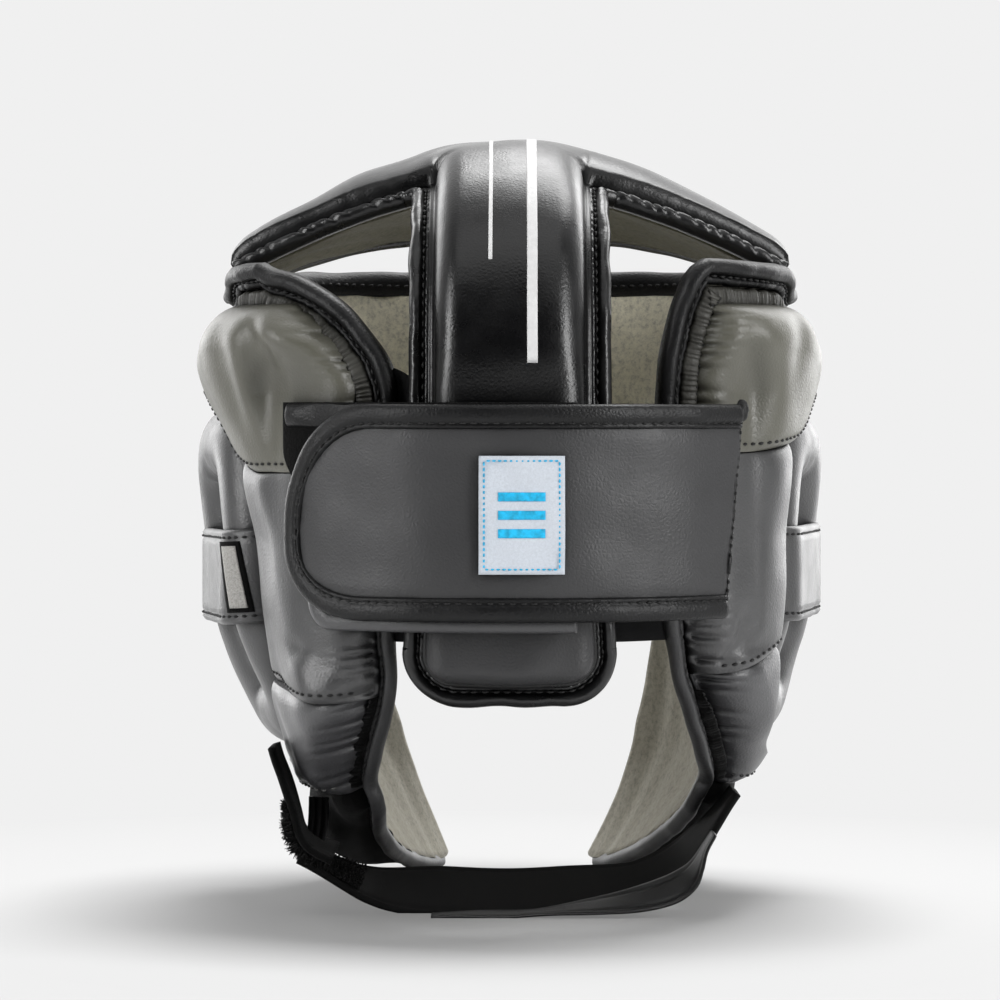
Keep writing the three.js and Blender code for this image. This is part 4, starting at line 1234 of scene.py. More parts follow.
def side_bindings(side, bottom, rear):
    """Leather binding round the edge of one side, as one strip from the forehead round to the brow."""
    sign = SIGNS[side]
    inside = wall_point(sign * 100.0, 140.0)
    corner = float(rear(TOP_EDGE))
    top = np.linspace(58, corner - 0.5, 60)
    down = np.linspace(TOP_EDGE, 47, 140)
    under = np.linspace(float(rear(44)) - 3, 49, 100)
    up = np.linspace(13, 187, 110)
    theta = np.concatenate([top, rear(down), under, edges["face"](up)])
    z = np.concatenate([top_edge(top), down, bottom(under), up])
    point, normal = wall_surface(sign * theta, z)
    nodes = [f"back_binding_{side}", f"jaw_binding_{side}", f"face_binding_{side}"]
    on_face = np.arange(len(theta)) >= len(theta) - len(up)
    half = mix(3.5, 5.1, smooth(z, 95, 125))
    reach = np.where(on_face, 0.2, mix(2.4, 3.4, smooth(z, 95, 125)))
    reach = reach + 1.6 * (np.arange(len(theta)) < len(top))
    level = np.where(on_face, 3.6, 0.6)
    facts = {"nodes": nodes, "slot": "binding_leather", "seed": 31 + sign, "level": level}
    name = f"side_binding_{side}"
    binding(name, point, normal, inside, half, reach, [trim, trim_painted_lit], **facts)
    faces = bpy.data.objects[name].data.polygons
    # Below the closure strap the binding takes the lighter copy of its leather: painted light
    faces.foreach_set("material_index", [int(face.center.z < CLOSURE_BOTTOM * MM) for face in faces])

    def down_to(height):
        return len(top) + int(np.argmax(down < height))

    strip = slice(6, down_to(PLEATS_END))
    pleats(
        f"pleated_strip_{side}", point[strip], normal[strip], inside, khaki_dark, "khaki_leather",
        pitch=2.1, width=mix(5.4, 8.2, smooth(z[strip], 229, 240)), rises=2.6, seed=35 + sign,
    )
    strip = slice(down_to(GUSSET_TOP), down_to(GUSSET_BOTTOM))
    pleats(
        f"gusset_{side}", point[strip], normal[strip], inside, loop_cloth, "black_webbing",
        pitch=1.7, width=0.6 + 2.2 * smooth(GUSSET_TOP - z[strip], 0, 12), rises=2.4, seed=38 + sign,
    )


def forehead():
    end = FOREHEAD_END
    pad = Pad(
        "front", constant(-end), constant(end), constant(BROW), constant(TOP_EDGE),
        lambda u, v, z: FOREHEAD_PAD, rounded={"low": 20, "high": 20}, sewn=("front", "rear"),
        gathered=("low", "high"), seed=9,
    )
    pad.make("forehead_pad", black, "black_leather", (150, 60))
    for side in ("front", "rear"):
        pad.stitch(side, SEAM_STITCHES)

    def surface(u, v):
        return wall_surface(mix(-end, end, u), mix(BROW + 0.5, TOP_EDGE - 0.5, v))

    dimple = Wobble(23, 28)
    grid = (np.linspace(0, 1, 90), np.linspace(0, 1, 30))
    # The forehead's lining takes the lighter copy of the suede: painted light
    cloth = make_shell(
        "forehead_lining", *grid, surface, lambda u, v: 0.4 * dimple(u * 200 + v * 60), LINING,
        [lining_painted_lit, back_cloth], nodes="forehead_lining", slot="suede_lining",
    )
    outer_faces(cloth)
    theta = np.linspace(-end, end, 140)
    for name, z, seed in (("forehead_binding", TOP_EDGE, 41), ("brow_binding", BROW, 43)):
        reach = theta if z == TOP_EDGE else theta * 0.93
        point, normal = wall_surface(reach, np.full_like(reach, z))
        facts = {"nodes": name, "slot": "binding_leather", "seed": seed}
        half = 6.2 if z == TOP_EDGE else 4.6
        line, out, across = binding(name, point, normal, FOREHEAD_MIDDLE, half, 0.7 * half, trim, **facts)
        sew("black", line - across * 1.2 - out * 0.87 * half, -out)


# Crown and back strap


def strap_half(along):
    return STRAP_HALF + STRAP_FLARE * smooth(along, occipital_start, crown_length)


def crown_cross(u, v):
    """Across the arms, and from the forehead to the nape: a place on the crown's cross."""
    rows = np.array([0, arm_front, arm_rear, crown_length])
    k = np.minimum(np.floor(v).astype(int), 2)
    along = mix(rows[k], rows[k + 1], v - k)
    half = strap_half(along) - corner_loss(crown_length - along, STRAP_CORNER)
    reach = np.maximum(np.abs(u) - 1, 0)
    arm_x = np.sign(u) * mix(STRAP_HALF, ARM_END, reach)
    x = np.where(np.abs(u) <= 1, u * half, arm_x)
    taper = mix(1, np.where(along < arm_pivot, ARM_FRONT_TAPER, ARM_TAPER), reach)
    return x, np.where(reach > 0, arm_pivot + (along - arm_pivot) * taper, along)


def crown_on_cross(u, v):
    return crown_surface(*crown_cross(u, v))


def is_cross(u, v):
    return (np.abs(u) < 1) | ((v > 1) & (v < 2))


crown_waves = (Wobble(61, 60), Wobble(62, 45))
crown_gather = Gather(63, 6)


def crown_height(u, v):
    x, along = crown_cross(u, v)
    on_strap = rise((STRAP_HALF - np.abs(x) - 2.6) / 11) * (along < occipital_start)
    rim = np.minimum(along - arm_front, arm_rear - along) + 2
    on_arm = np.where((v > 1) & (v < 2), rise(rim / 26), 0)
    outwards = np.clip((np.abs(x) - STRAP_HALF) / (ARM_END - STRAP_HALF), 0, 1)
    on_arm = on_arm * mix(1, 0.55, outwards) * rise((ARM_END - np.abs(x)) / 9)
    raised = 1 - (1 - on_strap) * (1 - on_arm)
    crease = (1 - crown_gather(x)) * np.exp(-np.maximum(rim, 0) / 10) * (np.abs(u) > 1)
    wave = 0.5 * crown_waves[0](along + 0.5 * x) + 0.4 * crown_waves[1](x)
    return PAD_START + CROWN_EDGE + (CROWN_RAISE + wave) * raised - 0.7 * crease


def crown_outside(u, v):
    def place(a, b):
        point, normal = crown_on_cross(a, b)
        return press_by_closure(point + normal * crown_height(a, b)[..., None])

    return framed(place, u, v, CROWN_STEP, from_head)


def crown():
    arm, middle = np.linspace(-2, -1, 46), np.linspace(-1, 1, 61)
    across = np.concatenate([arm, middle[1:], -arm[::-1][1:]])
    meet = 2 + (occipital_start - arm_rear) / (crown_length - arm_rear)
    corner = 2.9
    above_pad = stations((0, 1, 36), (1, 2, 64), (2, meet, 90))
    under_pad = stations((meet + 0.004, corner, 20), (corner, 3, 16))
    along = np.concatenate([above_pad, under_pad])
    make_shell(
        "crown_panel", across, along, crown_on_cross, PAD_START, crown_height, black, keep=is_cross,
        press=press_by_closure, nodes="crown_panel", slot="black_leather", fill=0.7,
    )
    dimple = Wobble(24, 27)
    # The crown's lining takes the darker copy of the suede: painted shade
    make_shell(
        "crown_lining", across[::2], along[::2], crown_on_cross,
        lambda u, v: 0.35 * dimple(u * 60 + v * 110), LINING, [suede_painted_shade, back_cloth],
        keep=is_cross, nodes="crown_lining", slot="suede_lining",
    )
    occipital_pad()
    crown_bindings()
    strap_stripes()


def occipital_pad():
    seat = PAD_START + CROWN_EDGE - 0.5
    margin = 1.5
    top, bottom = occipital_start + 2, crown_length - margin
    corner = STRAP_CORNER - margin
    wave = Wobble(71, 30)

    def surface(u, v):
        along = mix(top, bottom, v)
        half = strap_half(along) - margin - corner_loss(bottom - along, corner)
        return crown_surface((2 * u - 1) * half, along)

    def outer(u, v):
        across = rise((0.5 - np.abs(u - 0.5)) * 2 * STRAP_HALF / 8)
        end = rise((1 - v) * (bottom - top) / 8)
        return seat + 0.6 + (CROWN_RAISE - 1 + 0.5 * wave(60 * u + 25 * v)) * across * end

    make_shell(
        "occipital_pad", eased(50), eased(50), surface, seat, outer, strap_grey,
        press=press_by_closure, nodes="occipital_pad", slot="grey_leather", fill=0.8,
    )


def crown_bindings():
    """Binding from one arm down round the back strap and up to the other arm, and round the front vents."""
    bend = 7.0
    low_end = crown_length - STRAP_CORNER
    centre = strap_half(crown_length) - STRAP_CORNER
    straight = np.linspace(arm_rear + bend, low_end, 150)
    turn = np.linspace(0, np.pi / 2, 30)
    u = np.linspace(1.12, 1.985, 80)
    arm_x, arm_along = crown_cross(u, np.full_like(u, 1.9999))
    half_x = np.concatenate([
        arm_x[::-1],
        STRAP_HALF + bend * (1 - np.sin(turn)),
        strap_half(straight),
        centre + STRAP_CORNER * np.cos(turn),
    ])
    half_along = np.concatenate([
        arm_along[::-1],
        arm_rear + bend * (1 - np.cos(turn)),
        straight,
        low_end + STRAP_CORNER * np.sin(turn),
    ])
    on_strap = np.full(len(straight) + len(turn), 0.1)
    on_arm = np.concatenate([np.ones_like(u), np.linspace(1, 0.1, len(turn)), on_strap])
    x = np.concatenate([half_x, -half_x[::-1]])
    along = np.concatenate([half_along, half_along[::-1]])
    gather = np.concatenate([on_arm, on_arm[::-1]])
    point, normal = crown_surface(x, along)
    vent = crown_point(np.where(x > 0, 60.0, -60.0), np.full_like(x, arm_rear + 60))
    below = crown_point(x, np.full_like(x, crown_length + 40))
    low = (along > low_end)[:, None]
    outward = np.where(low, below, vent) - point
    inside = point - unit(outward) * 30
    strap_edge(point, normal, inside, gather)
    for side, sign in SIGNS.items():
        u = np.linspace(1.0, 1.985, 90)
        x, along = crown_cross(sign * u, np.full_like(u, 1.0001))
        point, normal = crown_surface(x, along)
        down = np.linspace(arm_front + 1, 1, 60)
        turned, out = crown_surface(np.full_like(down, sign * STRAP_HALF), down)
        point, normal = np.concatenate([point[::-1], turned]), np.concatenate([normal[::-1], out])
        middle = crown_point(np.array(sign * 20.0), np.array(arm_pivot))
        name = f"front_vent_binding_{side}"
        facts = {"nodes": name, "slot": "binding_leather", "seed": 55 + sign}
        binding(name, point, normal, middle, 4.2, 3.0, trim_black, gather=0.4, level=1.4, **facts)


def strap_edge(point, normal, inside, gather):
    """The binding of the back strap and the arms' rear, pressed under the closure with the strap."""
    columns = np.stack([mix(4.8, 3.9, gather), mix(3.0, 1.6, gather), gather], -1)
    point, normal, inside, columns = resample(0.75, point, normal, inside, columns)
    half, reach, gather = columns.T
    normal = unit(normal)
    across = away_from(inside, point, normal)
    middle = press_by_closure(point + across * reach[:, None] + normal * (PAD_START + 2))
    widest = half.max()
    width = (half / widest)[:, None]
    section, groove = binding_section(widest, 4.2, distance_along(point), 51, gather)
    nodes = ["back_strap_binding", "arm_binding_left", "arm_binding_right"]
    facts = {"nodes": nodes, "slot": "binding_leather"}
    make_bar("back_strap_binding", middle, normal, across, section * width[..., None], trim_black, **facts)
    line = middle + across * groove * width + normal * 2.3
    even = gather < 0.5
    sew("black", line[even], normal[even], radius=0.5)


def strap_stripes():
    """Two plain printed stripes along the back strap."""
    for name, x_from, x_to, v_end in (("stripe_narrow", -6.0, -4.8, 2.30), ("stripe_wide", 4.6, 7.8, 2.46)):
        u, v = np.meshgrid(np.linspace(x_from, x_to, 8) / STRAP_HALF, np.linspace(1.35, v_end, 150))
        point, normal = crown_outside(u, v)
        make_sheet(name, point + normal * 0.12, point + normal * 0.02, print_white, slot="woven_label")


# Ears


def ear_guard(side):
    sign = SIGNS[side]
    step = wall_point(EAR_THETA + 0.5, EAR_MIDDLE) - wall_point(EAR_THETA - 0.5, EAR_MIDDLE)
    per_degree = float(np.linalg.norm(step))
    turn = full_turn(180)
    power = 2 / EAR_SQUARENESS
    theta = EAR_THETA + EAR_HALF_WIDTH * signed_power(np.cos(turn), power) / per_degree
    z = EAR_MIDDLE + EAR_HALF_HEIGHT * signed_power(np.sin(turn), power)
    point, normal = wall_surface(sign * theta, z)
    _, across = line_frames(point, normal, loop=True)
    angle = np.radians(np.linspace(0, 180, 23))
    s = distance_along(point)
    lobes = Gather(81 + sign, 8)(s)[:, None]
    a = np.concatenate([EAR_ROLL * np.cos(angle), [-EAR_ROLL, EAR_ROLL]])
    b = np.concatenate([EAR_ROLL * (1 + np.sin(angle)), [0, 0]]) + PAD_START
    section = same_section(a, b, len(s))
    low = np.clip(1 - (b - PAD_START) / EAR_ROLL / 1.6, 0, 1)
    puff = 1 + 0.02 * Wobble(83 + sign, 40)(s)[:, None] - 0.05 * (1 - lobes) * low
    section[..., 0] *= puff
    front = (smooth(-np.cos(turn), -0.6, 1) - 1.1 * smooth(-np.sin(turn), 0, 1))[:, None]
    rear = smooth(np.cos(turn), -0.3, 0.8)[:, None]
    lift = EAR_FRONT_LIFT * front - EAR_REAR_DROP * rear
    section[..., 1] += lift * smooth(b, PAD_START, PAD_START + EAR_ROLL)
    name = f"ear_guard_{side}"
    facts = {"nodes": name, "slot": "grey_leather", "fill": 0.85}
    make_bar(name, point, normal, across, section, grey, loop=True, **facts)
    ear_strap(side, per_degree)


def ear_strap(side, per_degree):
    sign = SIGNS[side]
    around = EAR_ROLL + 1.0
    turn = np.radians(np.linspace(-12, 90, 30))
    reach = EAR_HALF_WIDTH + around * np.cos(turn)
    across = np.concatenate([reach, -reach[::-1]])
    lift = PAD_START + EAR_ROLL + around * np.sin(turn)
    lift = np.concatenate([lift - EAR_REAR_DROP, lift[::-1] + EAR_FRONT_LIFT])
    wall_at, out = wall_surface(sign * (EAR_THETA + across / per_degree), np.full_like(across, EAR_MIDDLE))
    (line,) = resample(1.2, wall_at + out * lift[:, None])
    upright = np.repeat(UP[None], len(line), 0)
    _, normal = line_frames(line, upright)
    normal = facing(normal, level_out(line))
    half = EAR_STRAP_HEIGHT / 2
    a, b = flat_outline(half, 2.4, 0.2, 24)
    rim = half - np.abs(a)
    b = np.where(b > 1, b - 0.8 * hump(rim - 3, 0.8) - 1.2 * (1 - rise(rim / 1.4)), b)
    sway = Wobble(91 + sign, 30)(distance_along(line))[:, None]
    section = same_section(a, b, len(line))
    section[..., 1] += 0.35 * sway * (b > 1)
    name = f"ear_strap_{side}"
    make_bar(name, line, normal, upright, section, grey, nodes=name, slot="grey_leather")
    for level in (-half + 3, half - 3):
        sew("black", line + upright * level + normal * 1.8, normal)
    if side == "left":
        ear_patch(line, normal)


def ear_patch(line, normal):
    """A small bare patch with a dark border on the left ear strap, towards the back."""
    s = distance_along(line)
    for name, material, start, end, half, lift in (
        ("ear_patch_border", loop_cloth, 11.5, 22.0, 13.5, 2.6),
        ("ear_patch", patch_cloth, 13.4, 20.2, 11.8, 2.9),
    ):
        levels = np.linspace(-half, half, 16)[:, None]
        at = np.linspace(start, end, 12)[None] - PATCH_SLANT * levels
        place, out = (points(*[np.interp(at, s, part) for part in rows.T]) for rows in (line, normal))
        base = place + unit(out) * lift + UP * levels[..., None]
        make_sheet(name, base + out * 0.3, base - out * 0.3, material, slot="woven_label")


# Closure


def closure_edge(along, inset, end):
    """The lower and upper edge of the closure strap, whose free end is rounded about its tip."""
    def reach(corner, height, power):
        near = np.clip((corner - (along - end)) / corner, 0, 1)
        return height * (1 - near**power) ** (1 / power)

    upper = reach(CLOSURE_UPPER_CORNER - inset / 2, CLOSURE_TOP - CLOSURE_TIP_Z - inset, 2.05)
    lower = reach(CLOSURE_LOWER_CORNER - inset / 2, CLOSURE_TIP_Z - CLOSURE_BOTTOM - inset, 2.3)
    return CLOSURE_TIP_Z - lower, CLOSURE_TIP_Z + upper


def sewn_end(z):
    return closure_end - CLOSURE_SLANT * (CLOSURE_TOP - z) / (CLOSURE_TOP - CLOSURE_BOTTOM)


closure_waves = (Wobble(101, 70), Wobble(102, 38))


def closure_height(u, v):
    rim = np.minimum(np.minimum(v, 1 - v) * 62, u * 180)
    wave = 0.5 * closure_waves[0](u * 180 + 20 * v) + 0.25 * closure_waves[1](v * 70 + 30 * u)
    return CLOSURE_THICKNESS + wave * smooth(rim, 0, 14) + 0.7 * smooth(rim, 0, 7)


def closure_panel(u, v):
    inset = 5.5
    start = closure_start + inset
    along = mix(start, sewn_end(mix(CLOSURE_BOTTOM, CLOSURE_TOP, v)), u)
    low, high = closure_edge(along, inset, start)
    return closure_surface(along, mix(low, high, v))


def closure():
    round_end = 0.2
    along = stations((0, round_end, 40), (round_end, 1, 110))
    make_shell(
        "closure_strap", along, np.linspace(0, 1, 60), closure_panel, 0, closure_height,
        strap_grey, nodes="closure_strap", slot="grey_leather", fill=0.5,
    )
    line = 4.2
    start = closure_start + line
    reach = mix(start, closure_end - 0.2, np.linspace(0, 1, 240) ** 2.2)
    low, high = closure_edge(reach, line, start)
    top_end, low_end = float(sewn_end(high[-1])), float(sewn_end(low[-1]))
    top = np.minimum(reach, top_end)
    bottom = np.minimum(reach, low_end)
    along = np.concatenate([top[::-1], bottom[1:]])
    z = np.concatenate([high[::-1], low[1:]])
    point, normal = resample(1.2, *closure_surface(along, z))
    normal = unit(normal)
    closure_binding(point, normal)
    closure_end_seam()
    closure_base()
    label()
    elastic()


def closure_binding(point, normal):
    """The folded strip round the closure strap, with a groove where it is sewn."""
    half, thick, groove = 4.5, 3.1, 2.3
    across = away_from(CLOSURE_MIDDLE, point, normal)
    s = distance_along(point)
    angle = full_turn(28)
    a = signed_power(np.cos(angle), 0.7) * half
    b = signed_power(np.sin(angle), 0.7) * thick
    section = same_section(a, b, len(s))
    top = np.clip(b / thick, 0, 1)
    section[..., 1] += 0.25 * Wobble(111, 26)(s)[:, None] * top - 1.3 * hump(a + groove, 0.6) * top
    section[..., 1] += 0.7 * (Gather(113, 5)(s)[:, None] - 0.4) * smooth(-a, groove, 3.4) * top
    middle = point + normal * 2.8
    name = "closure_binding"
    make_bar(name, middle, normal, across, section, trim, nodes=name, slot="binding_leather")
    sew("black", middle - across * groove + normal * 2.0, normal)


def closure_end_seam():
    """The folded end of the closure strap, sewn to the right side, and the tack at its upper corner."""
    z = np.linspace(CLOSURE_BOTTOM + 5, CLOSURE_TOP - 5, 80)
    point, normal = closure_surface(sewn_end(z) + 0.4, z)
    point, normal = resample(0.9, point, normal)
    _, across = line_frames(point, normal)
    s = distance_along(point)
    angle = full_turn(14)
    section = same_section(1.5 * np.cos(angle), 2.6 * np.sin(angle), len(s))
    section[..., 0] += 0.5 * Wobble(115, 9)(s)[:, None]
    section[..., 1] += 0.4 * Wobble(117, 14)(s)[:, None]
    make_bar("closure_end_fold", point + normal * 2.0, normal, across, section, trim, slot="binding_leather")
    sew("black", point + normal * 4.3, normal, pitch=3.2, length=2.4, radius=0.5)
    knot()


def knot():
    """The lump of thread that tacks down the upper corner of the sewn end."""
    middle, out = closure_surface(np.array(closure_end + 1.2), np.array(CLOSURE_TOP - 2.0))
    side = unit(np.cross(out, UP))
    around, up = np.meshgrid(full_turn(28), np.linspace(-1.5, 1.5, 15))
    swell = 1 + 0.14 * Wobble(119, 1.3)(around + 2 * up) * np.cos(up)
    ball = points(2.3 * np.cos(up) * np.cos(around), 2.4 * np.cos(up) * np.sin(around), 4.0 * np.sin(up))
    ball = ball * swell[..., None]
    verts = middle + out * 3.4 + ball[..., :1] * side + ball[..., 1:2] * out + ball[..., 2:] * UP
    faces = tube_faces(*around.shape)
    make_piece("closure_knot", verts.reshape(-1, 3), faces, thread_colours["black"], slot="binding_leather")


def closure_base():
    """The flap that the closure strap grips, with loop cloth at its edge."""
    start, end = float(closure_along(CLOSURE_BASE_LEFT)), float(closure_along(CLOSURE_BASE_RIGHT))
    corner = 11

    def surface(u, v):
        begin = start + CLOSURE_BASE_TUCK * (1 - smooth(v, 0.45, 0.75))
        along = mix(begin, end, u)
        low = CLOSURE_BASE_BOTTOM + corner_loss(along - begin, corner)
        return closure_surface(along, mix(low, CLOSURE_TOP + 1, v))

    round_end = 0.1
    spread = stations((0, round_end, 20), (round_end, 1, 60))
    wave = Wobble(121, 30)
    make_shell(
        "closure_base", spread, np.linspace(0, 1, 40), surface, -1 - CLOSURE_BASE_THICKNESS,
        lambda u, v: -1.0 + 0.3 * wave(90 * u + 40 * v), loop_cloth,
        nodes="closure_base", slot="binding_leather",
    )
    along = np.linspace(start + 3, start + 47, 50)
    tall = mix(2.6, 0.5, smooth(along - start, 7, 18)) * mix(0.7, 1, rise((along - start - 3) / 2))
    base_roll("closure_base_roll", along, np.full_like(along, CLOSURE_TOP - 3.6), 4.2, tall, trim)
    turn = np.radians(np.linspace(0, 90, 16))
    inset = corner - 3.2
    bend = start + CLOSURE_BASE_TUCK + corner
    along = np.concatenate([bend - inset * np.cos(turn), np.linspace(bend + 1, end, 60)])
    z = CLOSURE_BASE_BOTTOM + corner - np.concatenate([inset * np.sin(turn), np.full(60, inset)])
    base_roll("closure_base_hem", along, z, 3.4, np.full_like(along, 1.7), low_grey)
    point, normal = closure_surface(along, z + 3.4)
    sew("black", (point - normal * 0.6)[16:], normal[16:])


def base_roll(name, along, z, half, tall, material):
    """A bound edge of the flap, flattened where the closure strap lies over it."""
    point, normal = closure_surface(along, z)
    _, across = line_frames(point, normal)
    angle = full_turn(20)
    a, b = np.broadcast_arrays(half * np.cos(angle), tall[:, None] * np.sin(angle))
    section = np.stack([a, b], -1)
    make_bar(name, point - normal * 1.0, normal, across, section, material, slot="binding_leather")


def label():
    """A plain woven label with a sewn border and three bars."""
    seat = CLOSURE_THICKNESS + 1.4
    middle = float(closure_along(LABEL_X))

    def at(x, z, lift):
        point, normal = closure_surface(middle + np.asarray(x, float), LABEL_Z + np.asarray(z, float))
        return point + normal * (seat + lift), normal

    def curled(x, z, lift):
        base, normal = at(x, z, 0)
        return base + normal * (lift + 0.35 * curl(x + 0.6 * z))[..., None]

    curl = Wobble(131, 25)
    x, z = np.meshgrid(np.linspace(-0.5, 0.5, 24) * LABEL_WIDTH, np.linspace(-0.5, 0.5, 30) * LABEL_HEIGHT)
    low, _ = at(x, z, 0)
    make_sheet("woven_label", curled(x, z, 0.9), low, label_cloth, nodes="woven_label", slot="woven_label")
    corners = np.array([(-1, -1), (1, -1), (1, 1), (-1, 1), (-1, -1)])
    corners = corners * (np.array([LABEL_WIDTH, LABEL_HEIGHT]) / 2 - LABEL_MARGIN)
    for (x0, z0), (x1, z1) in zip(corners, corners[1:]):
        t = np.linspace(0, 1, 40)
        line, out = at(mix(x0, x1, t), mix(z0, z1, t), 1.0)
        sew("blue", line, out, pitch=2.0, length=1.5, radius=0.35)
    for name, level in (("high", BAR_PITCH), ("middle", 0), ("low", -BAR_PITCH)):
        x, z = np.meshgrid(np.linspace(-0.5, 0.5, 20) * BAR_WIDTH, np.linspace(-0.5, 0.5, 6) * BAR_HEIGHT)
        z = z + level
        top, low = curled(x, z, 1.15), curled(x, z, 0.7)
        make_sheet(f"label_bar_{name}", top, low, thread_colours["blue"], slot="woven_label")


def elastic():
    def surface(u, v):
        z = mix(104, 189 + 15 * smooth(u, 0.72, 0.95), v)
        return wall_surface(mix(edges["right"](z) + 0.5, 360 - edges["left"](z) - 0.5, u), z)

    rib = Wobble(141, 12)
    make_shell(
        "elastic_band", np.linspace(0, 1, 60), np.linspace(0, 1, 24), surface, 0.2,
        lambda u, v: 2.0 + 0.15 * rib(120 * u), elastic_cloth, nodes="elastic_band", slot="black_webbing",
    )


# Chin strap


def strap_line(rows, y, spacing=1.2):
    """Stations of a strap whose middle line is drawn from behind, and which leans forward by an angle."""
    spread = with_distance(rows, "x", "z")
    s = np.arange(0, spread["along"][-1], spacing)
    x, z, lean = (column(spread, "along", name) for name in ("x", "z", "lean"))
    tangent = unit(points(x(s + 0.5) - x(s - 0.5), 0 * s, z(s + 0.5) - z(s - 0.5)))
    upright = points(-tangent[:, 2], 0 * s, tangent[:, 0]) * np.where(tangent[:, :1] < 0, -1, 1)
    angle = np.radians(lean(s))[:, None]
    across = upright * np.cos(angle) - BACK * np.sin(angle)
    normal = facing(unit(np.cross(across, tangent)), BACK)
    return points(x(s), y + 0 * s, z(s)), normal, across


def strap_piece(name, rows, y, half, thick, material, seed, nodes=()):
    point, normal, across = strap_line(rows, y)
    s = distance_along(point)
    a, b = flat_outline(half, thick, 0, 22)
    rim = half - np.abs(a)
    side = np.where(b > 0, 1, -1)
    b = b - side * 0.35 * thick * (1 - rise(rim / 1.5))
    b = b - side * 0.4 * hump(rim - 2.6, 0.7)
    section = same_section(a, b, len(s))
    section[..., 1] += 0.3 * Wobble(seed, 60)(s)[:, None]
    section[..., 1] += 0.2 * Wobble(seed + 1, 40)(s)[:, None] * a / half
    verts, faces, uv = sweep_mesh(point, normal, across, section)
    verts[:, 2] = np.maximum(verts[:, 2], 0)
    return make_piece(name, verts, faces, material, nodes=nodes, slot="black_webbing", uv=uv)


def chin_strap():
    half = CHIN_STRAP_WIDTH / 2
    strap_piece("chin_strap", CHIN, CHIN_STRAP_Y, half, 3.0, strap_cloth, 151, ["chin_strap"])
    strap_piece("chin_tab", CHIN_TAB, CHIN_TAB_Y, half - 1, 3.0, loop_cloth, 161, ["chin_tab"])
    strap_piece("chin_layer", CHIN_LAYER, CHIN_LAYER_Y, 7.0, 1.4, satin, 181)
    strap_piece("chin_loop", CHIN_LOOP, CHIN_LOOP_Y, 4.0, 1.4, satin, 184)
    chin_pile()


def chin_pile():
    """Loops of the two pile patches: outside the hanging tab, and on the upper face of the strap's tail."""
    hairs = Bundle()
    draw = np.random.default_rng(171)
    half = CHIN_STRAP_WIDTH / 2 - 2
    patches = (
        (CHIN_TAB, CHIN_TAB_Y, -1, 0.0, 0.42, 0.98, 5.5, 1300),
        (CHIN, CHIN_STRAP_Y, 1, 3.0, 0.86, 1.0, 2.0, 900),
    )
    for rows, y, face, level, start, end, longest, count in patches:
        point, normal, across = strap_line(rows, y, 0.5)
        at = (mix(start, end, draw.random(count)) * (len(point) - 1)).astype(int)
        edge = mix(-half, half, draw.random(count) ** 1.6)
        root = point[at] + across[at] * edge[:, None] + normal[at] * level
        swell = 0.45 + 0.55 * np.sin(np.pi * (at / (len(point) - 1) - start) / (end - start) * 0.98 + 0.03)
        long = longest * swell * mix(0.55, 1, draw.random(count))
        lean = draw.normal(0, 0.35, (count, 3))
        for base, out, reach, turn in zip(root, normal[at] * face, long, lean):
            hair(hairs, base, unit(out + turn), reach, turn)
    hairs.make("chin_pile", loop_cloth, slot="black_webbing")


def hair(bundle, base, out, reach, turn):
    """One loop of pile as a thin tapering three-sided thread that bends towards its tip."""
    side = unit(np.cross(out, (0.3, 0.5, 0.8)))
    other = np.cross(out, side)
    verts = []
    for share, radius in ((0, 0.34), (0.55, 0.3), (1, 0.12)):
        middle = base + out * reach * share + np.cross(out, turn) * reach * 0.9 * share**2
        for angle in (0, 2.1, 4.2):
            verts.append(middle + radius * (side * math.cos(angle) + other * math.sin(angle)))
    bundle.add(np.array(verts), tube_faces(3, 3))


# Floor, light and camera


BACKGROUND = (240, 240, 240)
AMBIENT = 0.02  # strength of the light from all round, and of the light from behind the object
BACKDROP = 1.6
BACKDROP_FADE = (-0.15, 0.7)
FLOOR_TONE = 0.35
FLOOR_GLOW = 0.2
FLOOR_CENTRE = (0, -0.1, 0)
FLOOR_FADE = (0.2, 0.45)  # distances from its centre, in metres, over which the floor fades
FLOOR_BOUNCE = 0.6
LENS = 152.8
LENS_SHIFT = (-0.010, -0.095)
EYE = (0, -1.64, 0.19)
LIGHT_AIM = (0, 0, 0.15)
# name, place, width, height, power, what it lights
LIGHTS = (
    ("left_box", (-1.36, -0.8, 0.65), 0.4, 1.3, 17, "object"),
    ("left_rim", (-1.05, 1.1, 0.5), 0.7, 1.3, 12, "object"),
    ("right_box", (1.22, -1.0, 0.65), 0.4, 1.3, 22, "object"),
    ("right_rim", (1.0, 1.25, 0.5), 0.7, 1.3, 15, "object"),
    ("top_box", (0.0, -0.7, 2.0), 2.0, 1.2, 9, "both"),
    ("back_box", (0.5, 1.0, 2.0), 1.6, 1.0, 34, "object"),
    ("floor_box", (0.22, 0.46, 2.3), 1.1, 0.9, 94, "floor"),
)


def plain(tone):
    return (tone, tone, tone, 1)


def shown(tree, lighting, seen, output):
    """Sends one shader to what is seen directly, and another to what lights the object."""
    direct = add_node(tree, "LightPath")["Is Camera Ray"]
    both = add_node(tree, "MixShader", {"Fac": direct, 1: lighting, 2: seen})["Shader"]
    feed(tree.nodes[output], {"Surface": both})


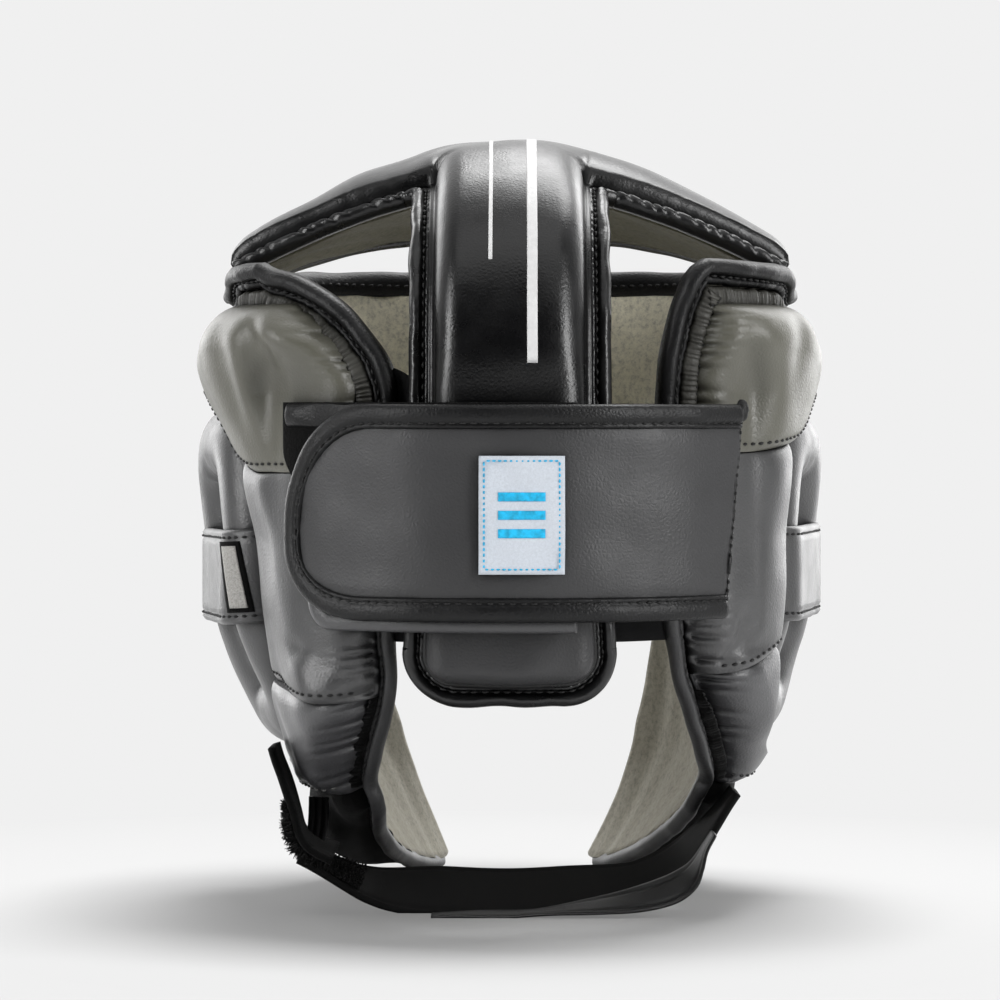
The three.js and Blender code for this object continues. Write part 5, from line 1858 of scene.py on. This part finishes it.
def stage():
    """A pale floor that takes a soft shadow and fades into the background far from the object."""
    bpy.ops.mesh.primitive_circle_add(vertices=96, radius=40, fill_type="NGON")
    floor = bpy.context.object
    floor.name = "floor"
    made = Shader("floor", 0.95, 0.1)
    made.set({"Base Color": plain(FLOOR_TONE)})
    tree = made.tree
    ends = {0: made.place["Object"], 1: FLOOR_CENTRE}
    away = add_node(tree, "VectorMath", ends, operation="DISTANCE")["Value"]
    bright = {"Color": (*linear(*BACKGROUND), 1), "Strength": remap(tree, away, *FLOOR_FADE, FLOOR_GLOW, 1)}
    glow = add_node(tree, "Emission", bright)["Emission"]
    near = add_node(tree, "AddShader", {0: made.base.outputs["BSDF"], 1: glow})["Shader"]
    share = remap(tree, away, *FLOOR_FADE, 0, 1)
    whole = add_node(tree, "MixShader", {"Fac": share, 1: near, 2: glow})["Shader"]
    bounce = add_node(tree, "BsdfDiffuse", {"Color": plain(FLOOR_BOUNCE)})["BSDF"]
    shown(tree, bounce, whole, "Material Output")
    floor.data.materials.append(made.material)


def backdrop():
    """A plain background, and a soft light from behind the object that fades towards the viewer."""
    world = bpy.data.worlds.new("studio")
    world.use_nodes = True
    tree = world.node_tree
    background = tree.nodes["Background"]
    feed(background, {"Color": (*linear(*BACKGROUND), 1)})
    place = add_node(tree, "TexCoord")["Generated"]
    depth = add_node(tree, "SeparateXYZ", {"Vector": place})["Y"]
    strength = remap(tree, depth, *BACKDROP_FADE, AMBIENT, BACKDROP)
    soft = add_node(tree, "Background", {"Strength": strength})["Background"]
    shown(tree, soft, background.outputs["Background"], "World Output")
    bpy.context.scene.world = world


def lights():
    """Soft boxes, each of which lights the object, the floor or both."""
    aim = Vector(LIGHT_AIM)
    lit = {kind: bpy.data.collections.new(f"lit_{kind}") for kind in ("object", "floor")}
    for piece in bpy.context.scene.objects:
        if piece.type == "MESH":
            lit["floor" if piece.name == "floor" else "object"].objects.link(piece)
    for name, place, width, height, power, kind in LIGHTS:
        data = bpy.data.lights.new(name, "AREA")
        data.shape = "RECTANGLE"
        data.size, data.size_y, data.energy = width, height, power
        lamp = bpy.data.objects.new(name, data)
        lamp.location = place
        lamp.rotation_euler = (aim - lamp.location).to_track_quat("-Z", "Y").to_euler()
        if kind in lit:
            lamp.light_linking.receiver_collection = lit[kind]
        bpy.context.scene.collection.objects.link(lamp)


def camera():
    data = bpy.data.cameras.new("camera")
    data.sensor_width = 36
    data.lens = LENS
    data.shift_x, data.shift_y = LENS_SHIFT
    data.clip_end = 100
    eye = bpy.data.objects.new("camera", data)
    eye.location = EYE
    eye.rotation_euler = (math.radians(90), 0, 0)
    bpy.context.scene.collection.objects.link(eye)
    bpy.context.scene.camera = eye
    bpy.context.scene.view_settings.view_transform = "Standard"


camera()
stage()
backdrop()
forehead()
crown()
for one_side in SIGNS:
    side_panels(one_side)
    ear_guard(one_side)
closure()
chin_strap()
for thread_name, bundle in threads.items():
    bundle.make(f"stitching_{thread_name}", thread_colours[thread_name], slot="binding_leather")
lights()
